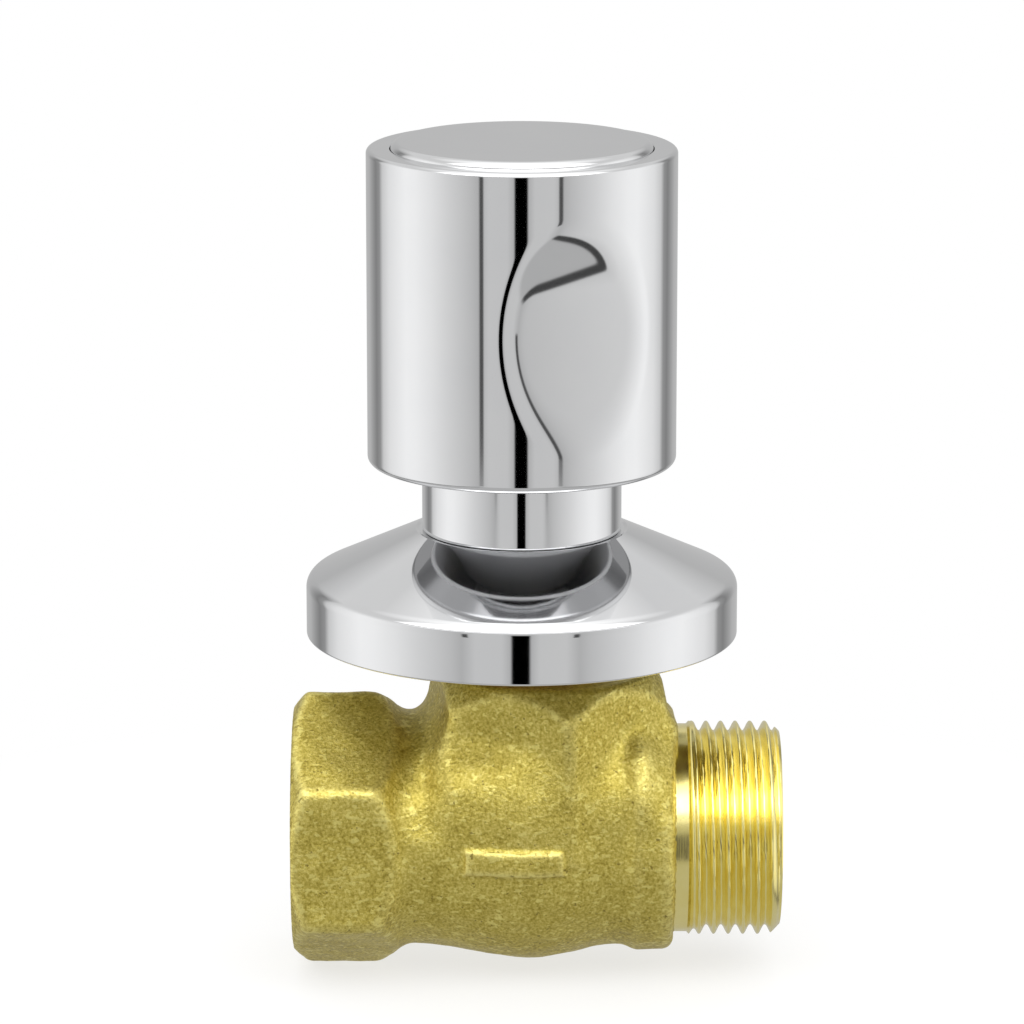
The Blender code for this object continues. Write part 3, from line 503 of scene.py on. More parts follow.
def inner_field(x, y, z):
    """Hollow of the casting: stepped water way less the leaning partition and its seat, plus the bores."""
    radius = np.hypot(y, z)
    across = np.hypot(x, y)
    socket = np.maximum(radius - SOCKET_BORE, x - SOCKET_END)
    way = np.where(x < SOCKET_END, socket, radius - eased_line(x, WATER_WAY))
    slab_height = np.maximum(z - PARTITION_TOP, PARTITION_BOTTOM - z)
    slab = np.maximum(slab_height, np.abs(x) - PARTITION_REACH - PARTITION_WALL)
    lean = PARTITION_LEAN / (BULGE[1] - PARTITION_TOP)
    middle = PARTITION_REACH + PARTITION_WALL / 2
    rise = np.abs(x + middle + lean * (z - PARTITION_TOP)) - PARTITION_WALL / 2
    fall = np.abs(x - middle + lean * (z - PARTITION_BOTTOM)) - PARTITION_WALL / 2
    walls = np.minimum(np.maximum(rise, PARTITION_BOTTOM - z), np.maximum(fall, z - PARTITION_TOP))
    seat = np.maximum(np.maximum(across - SEAT_RADIUS, z - SEAT_TOP), PARTITION_BOTTOM - z)
    partition = smooth_min(np.minimum(slab, walls), seat, SEAT_EASE)
    hollow = smooth_max(way, -partition, PARTITION_EASE)
    seat_height = np.maximum(z - SEAT_TOP - SEAT_CUT, PARTITION_BOTTOM - SEAT_CUT - z)
    seat_bore = np.maximum(across - SEAT_BORE, seat_height)
    neck_bore = np.maximum(across - NECK_BORE, NECK_BORE_FOOT - z)
    return np.minimum(np.minimum(hollow, seat_bore), neck_bore)


def sand_waves(x, y, z):
    """Low unevenness of sand casting: sines along nine fixed skew directions, about 1 to 6 mm long."""
    total = 0.0
    for index in range(SAND_WAVES):
        turn = SAND_TURN_STEP * index + SAND_TURN
        tilt = SAND_TILT * math.sin(SAND_TILT_STEP * index)
        wave = TURN / (SAND_LENGTH + SAND_LENGTH_STEP * index)
        level = x * math.cos(turn) * math.cos(tilt) + y * math.sin(turn) * math.cos(tilt)
        along = level + z * math.sin(tilt)
        height = SAND_HEIGHT + SAND_HEIGHT_STEP * index
        total = total + np.sin(wave * along + SAND_SHIFT_STEP * index) * height
    return total


def casting_field(points):
    """Signed distance from the casting's skin, negative inside the metal."""
    x, y, z = points.T
    below_top = smooth_step(NECK_TOP - z, 0.0, SAND_FADE_TOP)
    outside = outer_field(x, y, z) + sand_waves(x, y, z) * below_top * smooth_step(x, *SAND_FADE_INLET)
    ends = np.maximum(np.maximum(INLET_END - x, x - STUB_END), z - NECK_TOP)
    stub = np.maximum(np.hypot(y, z) - STUB_RADIUS, CASTING_END - STUB_DEPTH - x)
    solid = np.maximum(np.minimum(outside, stub), ends)
    return np.maximum(solid, -inner_field(x, y, z))


def drawn_to_field(points, field):
    """Points moved along the field's slope until they lie on its zero: a step is value over slope squared."""
    for _ in range(DRAW_ROUNDS):
        value = field(points)
        slope = np.stack([
            (field(points + SLOPE_STEP * axis) - field(points - SLOPE_STEP * axis)) / (2 * SLOPE_STEP)
            for axis in np.eye(3)
        ], axis=-1)
        steepness = np.maximum(np.einsum("ij,ij->i", slope, slope), LEAST_SLOPE)
        points = points - np.clip(value / steepness, -LONGEST_DRAW, LONGEST_DRAW)[:, None] * slope
    return points


def merged_copy(node):
    """A copy of a CAD node's mesh with its doubled points merged."""
    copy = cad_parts[node].data.copy()
    builder = bmesh.new()
    builder.from_mesh(copy)
    bmesh.ops.remove_doubles(builder, verts=builder.verts, dist=MERGE_DISTANCE)
    builder.to_mesh(copy)
    builder.free()
    return copy


def thread_cutter():
    """Plug that cuts the CAD's thread off at the stub's end: a rectangle turned about X, closed by poles."""
    outline = np.array([
        (STUB_END, CUTTER_CORE), (STUB_END, CUTTER_RADIUS),
        (CUTTER_END, CUTTER_RADIUS), (CUTTER_END, CUTTER_CORE),
    ])
    radius = np.repeat(outline[:, 1:], CUTTER_COLUMNS, axis=1)
    along = np.repeat(outline[:, :1], CUTTER_COLUMNS, axis=1)
    points = turned_about_x(radius, along).reshape(-1, 3)
    points = np.concatenate([points, [[STUB_END, 0, 0]], [[CUTTER_END, 0, 0]]])
    quads = grid_faces(len(outline), CUTTER_COLUMNS, False)
    triangles = pole_faces(len(outline), CUTTER_COLUMNS)
    mesh = bpy.data.meshes.new("thread_cutter")
    mesh.from_pydata((points * MM).tolist(), [], quads.tolist() + triangles.tolist())
    return linked("thread_cutter", mesh)


def casting():
    """Cast body: the CAD's solid cut at the thread, remeshed evenly, then drawn onto the casting's field.

    Its "wear" attribute is the field's mean a little way off in six directions, less most of its own value,
    which is high on outer edges.
    """
    blank = linked("casting_blank", merged_copy("valve_body"))
    cutter = thread_cutter()
    cut = blank.modifiers.new("cut", "BOOLEAN")
    cut.operation = "DIFFERENCE"
    cut.solver = "EXACT"
    cut.object = cutter
    even = blank.modifiers.new("even", "REMESH")
    even.mode = "VOXEL"
    even.voxel_size = REMESH_SIZE * MM
    evaluated = blank.evaluated_get(bpy.context.evaluated_depsgraph_get())
    mesh = bpy.data.meshes.new_from_object(evaluated)
    mesh.name = "casting"
    bpy.data.objects.remove(blank)
    bpy.data.objects.remove(cutter)
    points = np.empty(len(mesh.vertices) * 3)
    mesh.vertices.foreach_get("co", points)
    points = drawn_to_field(points.reshape(-1, 3) / MM, casting_field)
    mesh.vertices.foreach_set("co", (points * MM).ravel())
    around = [outer_field(*(points + WEAR_REACH * side * axis).T) for axis in np.eye(3) for side in (-1, 1)]
    rise = np.mean(around, axis=0) - WEAR_OWN_SHARE * outer_field(*points.T)
    wear = mesh.attributes.new("wear", "FLOAT", "POINT")
    wear.data.foreach_set("value", np.clip(rise / WEAR_REACH * WEAR_GAIN - WEAR_CUT, 0.0, 1.0))
    return dressed("casting", mesh, "valve", CAST_BRASS, CASTING_SHARP_ANGLE)


# Threads

def thread_wave(along, angle, pitch):
    """0 at the root and 1 at the crest of a thread: a triangle wave with its tip and foot rounded off."""
    phase = np.mod(along / pitch - angle / TURN, 1.0)
    ridge = np.clip((np.abs(2 * phase - 1) - 0.5) * THREAD_STEEPNESS + 0.5, 0.0, 1.0)
    return (1 - np.cos(math.pi * ridge)) / 2 * THREAD_ROUNDING + ridge * (1 - THREAD_ROUNDING)


def outlet_thread():
    """Machined outlet: relief, male pipe thread that runs out into it, chamfered end and bored inside."""
    angle = TURN * np.arange(THREAD_COLUMNS) / THREAD_COLUMNS
    threaded = np.arange(THREAD_START, OUTLET_END - END_SETBACK, OUTLET_STEP)
    x = np.concatenate([[CASTING_END - OUTLET_LAP, THREAD_START - RELIEF_GAP], threaded, [OUTLET_END]])
    along, turn = np.meshgrid(x, angle, indexing="ij")
    cut = np.clip((along - THREAD_START) / THREAD_RUN_IN, 0.0, 1.0)
    groove = 1 - thread_wave(along - THREAD_START, turn, THREAD_PITCH)
    depth = (THREAD_CREST - THREAD_ROOT) * groove * cut
    past_relief = smooth_step(along, THREAD_START - RELIEF_RISE, THREAD_START)
    top = RELIEF_RADIUS + (THREAD_CREST - RELIEF_RADIUS) * past_relief
    chamfer = THREAD_CREST - END_CHAMFER + (OUTLET_END - along)
    radius = smooth_min(top - depth, chamfer, THREAD_EASE)
    bore = OUTLET_BORE - BORE_LINER
    inner = np.array([
        (OUTLET_END, bore + BORE_CHAMFER), (OUTLET_END - BORE_CHAMFER, bore),
        (CASTING_END - OUTLET_LAP, bore),
    ])
    along = np.concatenate([along, np.repeat(inner[:, :1], THREAD_COLUMNS, axis=1)])
    radius = np.concatenate([radius, np.repeat(inner[:, 1:], THREAD_COLUMNS, axis=1)])
    return piece("outlet_thread", turned_about_x(radius, along), "valve", MACHINED_BRASS)


def inlet_thread():
    """Female pipe thread in the socket, chamfered at the mouth, on a liner bedded in the casting."""
    angle = TURN * np.arange(THREAD_COLUMNS) / THREAD_COLUMNS
    run_out_end, run_out_start = SOCKET_RUN_OUT
    threaded = np.arange(INLET_END + SOCKET_STEP, SOCKET_END - run_out_end, SOCKET_STEP)
    x = np.concatenate([[INLET_END + END_SETBACK], threaded, [SOCKET_END]])
    along, turn = np.meshgrid(x, angle, indexing="ij")
    cut = smooth_step(-along, -SOCKET_END + run_out_end, -SOCKET_END + run_out_start)
    depth = (THREAD_CREST - THREAD_ROOT) * (1 - thread_wave(along, turn, THREAD_PITCH)) * cut
    mouth = SOCKET_MOUTH - (along - INLET_END)
    radius = smooth_max(THREAD_ROOT + depth, mouth, THREAD_EASE)
    bed = SOCKET_BORE + SOCKET_BED
    outer = np.array([(SOCKET_END, bed), (INLET_END + END_SETBACK, bed)])
    along = np.concatenate([along, np.repeat(outer[:, :1], THREAD_COLUMNS, axis=1)])
    radius = np.concatenate([radius, np.repeat(outer[:, 1:], THREAD_COLUMNS, axis=1)])
    return piece("inlet_thread", turned_about_x(radius, along), "valve", MACHINED_BRASS)


def sleeve_thread():
    """Extension tube with a fine thread from end to end for the collar."""
    angle = TURN * np.arange(SLEEVE_COLUMNS) / SLEEVE_COLUMNS
    threaded = np.arange(SLEEVE_BOTTOM + SLEEVE_FIRST_ROW, SLEEVE_TOP - SLEEVE_LAST_ROW, SLEEVE_STEP)
    along, turn = np.meshgrid(np.concatenate([[SLEEVE_BOTTOM], threaded, [SLEEVE_TOP]]), angle, indexing="ij")
    foot = smooth_step(along, SLEEVE_BOTTOM, SLEEVE_BOTTOM + SLEEVE_FADE)
    head = smooth_step(-along, -SLEEVE_TOP, -SLEEVE_TOP + SLEEVE_FADE)
    radius = SLEEVE_RADIUS - SLEEVE_GROOVE * (1 - thread_wave(along, turn, SLEEVE_PITCH) * (foot * head))
    inner = np.array([(SLEEVE_TOP, SLEEVE_BORE), (SLEEVE_BOTTOM, SLEEVE_BORE)])
    along = np.concatenate([along, np.repeat(inner[:, :1], SLEEVE_COLUMNS, axis=1)])
    radius = np.concatenate([radius, np.repeat(inner[:, 1:], SLEEVE_COLUMNS, axis=1)])
    points = np.stack([radius * np.cos(angle), radius * np.sin(angle), along], axis=-1)
    made = piece("sleeve_thread", points, "valve", MACHINED_BRASS)
    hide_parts("extension_sleeve")


# Trim

def flange_cover():
    """Spun flange: skirt, rounded corner, straight cone, flat land and turned-in neck, swept round Z."""
    slope = (CONE_INNER_HEIGHT - SKIRT_TOP) / (FLANGE_RADIUS - CONE_INNER_RADIUS)
    under = SKIRT_TOP - FLANGE_SHEET * math.hypot(1, slope)
    inside = FLANGE_RADIUS - FLANGE_SHEET
    neck = FLANGE_HOLE + FLANGE_SHEET
    section = rounded([
        (FLANGE_RADIUS, FLANGE_BOTTOM, 0.3), (FLANGE_RADIUS, SKIRT_TOP, FLANGE_CORNER),
        (CONE_INNER_RADIUS, CONE_INNER_HEIGHT, 0.15), (LAND_RADIUS, LAND_HEIGHT, 0.1),
        (FLANGE_HOLE, LAND_HEIGHT, 0.3), (FLANGE_HOLE, FLANGE_NECK_BOTTOM, 0.0),
        (neck, FLANGE_NECK_BOTTOM, 0.0), (neck, under + slope * (FLANGE_RADIUS - neck), 0.0),
        (inside, under + slope * FLANGE_SHEET, 0.4), (inside, FLANGE_BOTTOM, 0.3),
    ])
    made = piece("flange_cover", turned_about_z(section, FLANGE_COLUMNS), "valve", CHROME)
    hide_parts("flange")


def collar_tube():
    """Polished collar over the extension tube, its edges broken."""
    section = rounded([
        (COLLAR_OUTER, COLLAR_BOTTOM, 0.3), (COLLAR_OUTER, COLLAR_TOP, 0.3),
        (COLLAR_BORE, COLLAR_TOP, 0.2), (COLLAR_BORE, COLLAR_BOTTOM, 0.2),
    ], COLLAR_ARC_STEPS)
    made = piece("collar_tube", turned_about_z(section, COLLAR_COLUMNS), "valve", CHROME)
    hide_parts("flange_collar")


def scallop_radius(angle, height, centre):
    """Radius at which a ray from the axis meets a thumb rest's floor.

    The floor is an arc in height with a slight crown across: at a place t across, its distance along the
    rest's own direction is less by t squared over twice the crown. That gives a quadratic in the radius.
    """
    arc = (SCALLOP_HALF_HEIGHT ** 2 + SCALLOP_DEPTH ** 2) / (2 * SCALLOP_DEPTH)
    span = SCALLOP_SPAN * SCALLOP_HALF_HEIGHT
    above = np.clip(height - SCALLOP_HEIGHT, -span, span)
    floor_at = KNOB_RADIUS - SCALLOP_DEPTH + arc - np.sqrt(arc ** 2 - above ** 2)
    away = angle - math.radians(centre)
    facing = np.maximum(np.cos(away), LEAST_FACING)
    crown = 2 * floor_at * np.sin(away) ** 2 / SCALLOP_CROWN
    reach = 2 * floor_at / (facing + np.sqrt(facing ** 2 + crown))
    return np.where(np.cos(away) > SCALLOP_FACING, reach, KNOB_RADIUS + OUT_OF_REACH)


def knob():
    """Knob: the turned section with two thumb rests drawn into its wall."""
    section = rounded([
        (KNOB_RADIUS, KNOB_BOTTOM, 0.9), (KNOB_RADIUS, KNOB_TOP, 0.6), (RECESS_RADIUS, KNOB_TOP, 0.15),
        (RECESS_RADIUS, RECESS_FLOOR, 0.0), (HUB_BORE, RECESS_FLOOR, 0.0), (HUB_BORE, WEB_TOP, 0.0),
        (SCREW_HOLE, WEB_TOP, 0.0), (SCREW_HOLE, WEB_BOTTOM, 0.0), (HUB_BORE, WEB_BOTTOM, 0.0),
        (HUB_BORE, HUB_BOTTOM, 0.0), (HUB_RADIUS, HUB_BOTTOM, 0.3), (HUB_RADIUS, PLATE_BOTTOM, 0.6),
        (KNOB_BORE, PLATE_BOTTOM, 0.8), (KNOB_BORE, KNOB_BOTTOM, 0.3),
    ])
    low = KNOB_BOTTOM + KNOB_EDGE
    high = KNOB_TOP - KNOB_EDGE
    section = refined(section, KNOB_STEP, low, high, KNOB_RADIUS - KNOB_SKIN)
    points = turned_about_z(section, KNOB_COLUMNS)
    radius = np.hypot(points[..., 0], points[..., 1])
    angle = np.arctan2(points[..., 1], points[..., 0])
    wall = radius > KNOB_RADIUS - KNOB_EDGE
    carved = radius.copy()
    for centre in SCALLOP_ANGLES:
        rest = scallop_radius(angle, points[..., 2], centre)
        carved = np.where(wall, smooth_min(carved, rest, SCALLOP_EASE), carved)
    points[..., :2] *= (carved / radius)[..., None]
    made = piece("knob", points, "spindle", KNOB_CHROME)
    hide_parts("handle")


def cap_disc():
    """Plain cap disc with an eased edge, its hollow spigot and the groove for the rubber ring."""
    section = rounded([
        (CAP_POLE, CAP_TOP, 0.0), (CAP_RADIUS, CAP_TOP, CAP_EDGE), (CAP_RADIUS, CAP_BOTTOM, 0.1),
        (SPIGOT_RADIUS, CAP_BOTTOM, 0.0), (SPIGOT_RADIUS, GROOVE_TOP, 0.0),
        (GROOVE_RADIUS, GROOVE_TOP, 0.0), (GROOVE_RADIUS, GROOVE_BOTTOM, 0.0),
        (SPIGOT_RADIUS, GROOVE_BOTTOM, 0.0), (SPIGOT_RADIUS, SPIGOT_BOTTOM, 0.2),
        (SPIGOT_BORE, SPIGOT_BOTTOM, 0.2), (SPIGOT_BORE, CAP_BOTTOM, 0.0), (CAP_POLE, CAP_BOTTOM, 0.0),
    ])
    points = turned_about_z(section, CAP_COLUMNS)
    made = piece("cap_disc", points, "spindle", CHROME, ring=False)
    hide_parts("handle_cap")


# Finishes

class Wire:
    """A node's output that plain arithmetic can be done with; each sign adds a Math node."""

    def __init__(self, paint, socket):
        self.paint = paint
        self.socket = socket

    def other(self, name):
        """Another output of the same node."""
        return Wire(self.paint, self.socket.node.outputs[name])

    def calculate(self, operation, first, second):
        """The Math node for one operation."""
        return self.paint.node("ShaderNodeMath", {"operation": operation}, {0: first, 1: second})

    def __add__(self, value):
        return self.calculate("ADD", self, value)

    def __sub__(self, value):
        return self.calculate("SUBTRACT", self, value)

    def __mul__(self, value):
        return self.calculate("MULTIPLY", self, value)

    def __truediv__(self, value):
        return self.calculate("DIVIDE", self, value)

    def __rsub__(self, value):
        return self.calculate("SUBTRACT", value, self)

    __radd__ = __add__
    __rmul__ = __mul__


class Paint:
    """The node tree of one material or of the world."""

    def __init__(self, tree):
        self.tree = tree

    def node(self, kind, settings=None, inputs=None, output=0):
        """A node of a type: its settings first, then the values or links of its sockets."""
        made = self.tree.nodes.new(kind)
        for key, value in (settings or {}).items():
            if key == "stops":
                self.set_stops(made.color_ramp, value)
            else:
                setattr(made, key, value)
        for key, value in (inputs or {}).items():
            if isinstance(value, Wire):
                self.tree.links.new(value.socket, made.inputs[key])
            else:
                made.inputs[key].default_value = value
        return Wire(self, made.outputs[output]) if len(made.outputs) else made

    @staticmethod
    def set_stops(ramp, stops):
        """A ramp's stops from (place, grey or colour) pairs."""
        while len(ramp.elements) > 1:
            ramp.elements.remove(ramp.elements[-1])
        for index, (place, shade) in enumerate(stops):
            stop = ramp.elements[0] if index == 0 else ramp.elements.new(place)
            stop.position = place
            stop.color = (*shade, 1.0) if isinstance(shade, tuple) else (shade, shade, shade, 1.0)

    def place(self, stretch=(1.0, 1.0, 1.0)):
        """Object coordinates in metres, stretched along each axis."""
        where = self.node("ShaderNodeTexCoord", output="Object")
        return self.node("ShaderNodeMapping", inputs={"Vector": where, "Scale": stretch})

    def noise(self, where, size, detail=3.0, roughness=0.55):
        """Noise whose features are about the given size in millimetres."""
        return self.node("ShaderNodeTexNoise", inputs={
            "Vector": where, "Scale": 1000.0 / size, "Detail": detail, "Roughness": roughness,
        })

    def ramp(self, value, stops):
        """A value drawn through grey or coloured stops."""
        return self.node("ShaderNodeValToRGB", {"stops": stops}, {"Fac": value})

    def rising(self, value, low, high):
        """0 below low, 1 above high, straight between."""
        return self.ramp(value, [(low, 0.0), (high, 1.0)])

    def falling(self, value, low, high):
        """1 below low, 0 above high, straight between."""
        return self.ramp(value, [(low, 1.0), (high, 0.0)])

    def blend(self, factor, first, second):
        """One colour drawn towards another."""
        sockets = {"Factor": factor, 6: first, 7: second}
        return self.node("ShaderNodeMix", {"data_type": "RGBA"}, sockets, output=2)

    def dimmed(self, colour, share):
        """A colour times another."""
        sockets = {"Factor": 1.0, 6: colour, 7: share}
        return self.node("ShaderNodeMix", {"data_type": "RGBA", "blend_type": "MULTIPLY"}, sockets, output=2)

    def bump(self, height, distance, strength):
        """Surface relief of a height in millimetres."""
        return self.node("ShaderNodeBump", inputs={
            "Height": height, "Distance": distance * MM, "Strength": strength,
        })


def finish(name, build, **constants):
    """A Principled material: constants go on the shader's own sockets, and `build` returns what varies."""
    made = bpy.data.materials.new(name)
    made.use_nodes = True
    shader = made.node_tree.nodes["Principled BSDF"]
    for key, value in constants.items():
        shader.inputs[key.replace("_", " ")].default_value = value
    for key, wire in build(Paint(made.node_tree)).items():
        made.node_tree.links.new(wire.socket, shader.inputs[key])
    return made


def chrome_look(paint):
    """Bright plating: faint polish haze in the roughness and a breath of tone."""
    haze = paint.noise(paint.place(), 9.0, 4.0)
    fine = paint.noise(paint.place((1.0, 1.0, 6.0)), 0.8, 2.0)
    return {
        "Base Color": paint.ramp(haze, [(0.3, (0.775, 0.780, 0.790)), (0.7, (0.800, 0.803, 0.808))]),
        "Roughness": 0.028 + haze * 0.022 + fine * 0.012,
    }


# Where the knob's finish changes: radii as shares of a width, and heights as shares of a height
KNOB_WIDTH = 20
KNOB_HEIGHT = 100
BARE_WITHIN = 15.3
BARE_FADE = 0.2
PLATE_FADE = 0.5
# Painted shade on the knob's bottom face: the span of heights above the bottom, and the darker tone
UNDERSIDE_SHADE_SPAN = (0.12, 0.22)
UNDERSIDE_SHADE_TONE = (0.56, 0.56, 0.57, 1.0)
BARE_TONE = (0.84, 0.84, 0.85, 1.0)


def knob_look(paint):
    """The same plating on the knob, with painted shade on its bottom face as a darker tone; inside, the skirt
    is bare and matt.
    """
    look = chrome_look(paint)
    where = paint.node("ShaderNodeTexCoord", output="Object")
    split = paint.node("ShaderNodeSeparateXYZ", inputs={0: where})
    east, north = split.other("X"), split.other("Y")
    radius = east.calculate("SQRT", east * east + north * north, 0.0) / (KNOB_WIDTH * MM)
    height = split.other("Z") / (KNOB_HEIGHT * MM)
    inside = paint.falling(radius, BARE_WITHIN / KNOB_WIDTH, (BARE_WITHIN + BARE_FADE) / KNOB_WIDTH)
    below_plate = paint.falling(height, PLATE_BOTTOM / KNOB_HEIGHT, (PLATE_BOTTOM + PLATE_FADE) / KNOB_HEIGHT)
    # Painted shade: the bottom face's colour is drawn towards a darker tone
    underside_shade = paint.falling(height, *((KNOB_BOTTOM + rise) / KNOB_HEIGHT for rise in UNDERSIDE_SHADE_SPAN))
    bare = inside * below_plate
    plated_with_shade = paint.blend(underside_shade, look["Base Color"], UNDERSIDE_SHADE_TONE)
    return {
        "Base Color": paint.blend(bare, plated_with_shade, BARE_TONE),
        "Roughness": look["Roughness"] + bare * 0.50,
        "Metallic": 1.0 - bare,
    }


def cast_brass_look(paint):
    """Sand-cast brass: fine olive-gold grain, small bright flecks, sparse pits and brighter worn edges."""
    where = paint.place()
    broad = paint.noise(where, 5.0, 3.0)
    grain = paint.noise(where, 0.36, 4.0, 0.65)
    fleck = paint.noise(paint.place((0.7, 1.0, 1.2)), 0.75, 2.0, 0.50)
    pore = paint.noise(where, 0.7, 3.0, 0.60)
    worn = paint.node("ShaderNodeAttribute", {"attribute_name": "wear"}, output="Fac")
    skin = paint.ramp(broad * 0.2 + grain * 0.8, [
        (0.36, (0.370, 0.285, 0.042)), (0.47, (0.565, 0.458, 0.090)),
        (0.54, (0.660, 0.545, 0.125)), (0.64, (0.820, 0.705, 0.215)),
    ])
    rubbed = paint.rising(fleck + worn * 0.16, 0.605, 0.645)
    bright = paint.blend(rubbed * 0.55, skin, (0.99, 0.88, 0.28, 1.0))
    edged = paint.blend(worn * grain * 0.9, bright, (0.95, 0.84, 0.32, 1.0))
    pitted = paint.falling(pore, 0.31, 0.34)
    return {
        "Base Color": paint.blend(pitted * 0.7, edged, (0.18, 0.13, 0.025, 1.0)),
        "Roughness": 0.32 + grain * 0.20 - rubbed * 0.08,
        "Normal": paint.bump(grain + fleck * 0.4 - pitted * 0.2, 0.10, 0.9),
    }


def machined_brass_look(paint):
    """Turned brass: bright yellow with faint tool rings round the pipe and a little uneven tarnish."""
    tarnish = paint.noise(paint.place(), 4.0, 4.0)
    rings = paint.noise(paint.place((1.0, 0.03, 0.03)), 0.12, 2.0)
    return {
        "Base Color": paint.ramp(tarnish, [(0.30, (0.935, 0.800, 0.275)), (0.70, (0.990, 0.880, 0.385))]),
        "Roughness": 0.12 + rings * 0.10 + tarnish * 0.05,
        "Normal": paint.bump(rings, 0.02, 0.3),
    }


def steel_look(paint):
    """Stainless steel with a fine drawn grain."""
    grain = paint.noise(paint.place((1.0, 1.0, 0.1)), 0.2, 3.0)
    return {
        "Base Color": paint.ramp(grain, [(0.3, (0.52, 0.52, 0.53)), (0.7, (0.66, 0.66, 0.66))]),
        "Roughness": 0.24 + grain * 0.14,
        "Normal": paint.bump(grain, 0.02, 0.4),
    }


def moulded_look(dark, light, rough):
    """A moulded or pressed finish between two close colours, with its own fine grain."""
    def build(paint):
        broad = paint.noise(paint.place(), 3.0, 3.0)
        grain = paint.noise(paint.place(), 0.3, 3.0)
        return {
            "Base Color": paint.ramp(broad * 0.5 + grain * 0.5, [(0.35, dark), (0.65, light)]),
            "Roughness": rough - 0.06 + grain * 0.12,
            "Normal": paint.bump(grain, 0.04, 0.5),
        }
    return build


CHROME = finish("polished_chrome", chrome_look, Metallic=1.0)
KNOB_CHROME = finish("knob_chrome", knob_look)
CAST_BRASS = finish("sand_cast_brass", cast_brass_look, Metallic=0.88)
MACHINED_BRASS = finish("turned_brass", machined_brass_look, Metallic=1.0)
STEEL = finish("stainless_steel", steel_look, Metallic=1.0)
RUBBER = finish("black_rubber", moulded_look((0.018, 0.018, 0.018), (0.045, 0.045, 0.045), 0.62))
FIBRE = finish("red_fibre", moulded_look((0.33, 0.07, 0.04), (0.52, 0.16, 0.09), 0.80))
PACKING = finish("graphite_packing", moulded_look((0.045, 0.045, 0.050), (0.120, 0.120, 0.125), 0.55))
NYLON = finish("white_nylon", moulded_look((0.76, 0.74, 0.68), (0.86, 0.85, 0.80), 0.42))

NODE_FINISHES = {
    "valve_body": CAST_BRASS, "bonnet": MACHINED_BRASS, "bonnet_gasket": FIBRE, "gland_packing": PACKING,
    "gland_follower": MACHINED_BRASS, "gland_nut": MACHINED_BRASS, "extension_sleeve": MACHINED_BRASS,
    "flange_guide_ring": NYLON, "flange": CHROME, "flange_collar": CHROME, "jumper": MACHINED_BRASS,
    "seat_washer": RUBBER, "washer_nut": MACHINED_BRASS, "spindle": MACHINED_BRASS, "handle": CHROME,
    "handle_bush": NYLON, "handle_screw": STEEL, "screw_washer": STEEL, "handle_cap": CHROME,
    "cap_ring": RUBBER,
}


def finish_nodes():
    """Give each CAD node its finish."""
    for name, look in NODE_FINISHES.items():
        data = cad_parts[name].data
        data.materials.clear()
        data.materials.append(look)


# Studio

# Brightness round the horizon, by degrees away from the front: panels, side lights and a dark back corner
BELT = [
    (0.0, 0.52), (5.4, 0.52), (10.0, 0.65), (24.0, 0.66), (31.4, 0.52), (37.0, 0.60), (43.0, 0.66),
    (57.0, 0.79), (70.0, 0.93), (85.0, 1.05), (95.0, 1.07), (104.0, 1.00), (115.0, 0.90), (125.0, 0.70),
    (130.0, 0.34), (137.0, 0.26), (144.0, 0.36), (154.0, 0.50), (180.0, 0.55),
]
BELT_TURN = 0.6
# Black slit between the front panels, which ends a little above the horizon
SLIT = [(0.0, 0.0), (4.3, 0.0), (5.4, 1.0)]
SLIT_TOP = (7.0, 10.0)
# Two thin dark seams between the panels, which end a little below the horizon
SEAM = [(27.3, 1.0), (28.2, 0.16), (30.2, 0.16), (31.4, 1.0)]
SEAM_SPAN = [(-13.35, 0.0), (-13.05, 1.0), (6.0, 1.0), (8.0, 0.0)]
# Brightness by height above the horizon in degrees, for the upper half, and for the lamp panel in front
SKY = [(0.0, 0.70), (20.0, 0.76), (45.0, 0.74), (60.0, 1.05), (75.0, 1.35), (90.0, 1.35)]
FRONT = [
    (0.0, 0.55), (21.0, 0.60), (23.0, 1.50), (25.5, 1.50), (26.5, 0.25), (29.5, 0.25), (31.0, 3.00),
    (49.0, 3.00), (56.0, 1.90), (74.0, 1.50), (90.0, 1.35),
]
PEAK = 3.0
# Degrees from the front over which the lamp panel ends, and heights over which the belt gives way above
FRONT_WIDTH = (55.0, 80.0)
BELT_TOP = (17.0, 32.0)
BELT_TOP_FRONT = (18.0, 21.0)
# Brightness by depth below the horizon in degrees
DEPTH = [(25.2, 1.0), (49.5, 0.36)]
# The pale sheet under the object: half its width over the mirror's height above it, its dark border, its
# brightness, and the depths in degrees over which it begins
SHEET_REACH = 1.33
SHEET_EDGE = 0.06
SHEET_SOFT_EDGE = 1.4 * SHEET_EDGE
SHEET_SHADE = 0.50
BORDER_SHADE = 0.02
SHEET_START = (20.0, 21.5)
WIDEST_ASIDE = 4.0
LEAST_DEPTH = 0.001


def sheet_light(paint, light, aside, depth):
    """The light with the pale sheet and its dark border laid into it below the horizon."""
    along = aside / WIDEST_ASIDE
    below = paint.rising(depth / 90.0, *(degrees / 90 for degrees in SHEET_START))
    within = paint.falling(
        along, (SHEET_REACH + SHEET_EDGE) / WIDEST_ASIDE, (SHEET_REACH + SHEET_SOFT_EDGE) / WIDEST_ASIDE)
    sheet = paint.ramp(along, [
        ((SHEET_REACH - SHEET_SOFT_EDGE) / WIDEST_ASIDE, SHEET_SHADE / PEAK),
        ((SHEET_REACH - SHEET_EDGE) / WIDEST_ASIDE, BORDER_SHADE),
    ])
    return paint.blend(below * within, light, sheet)


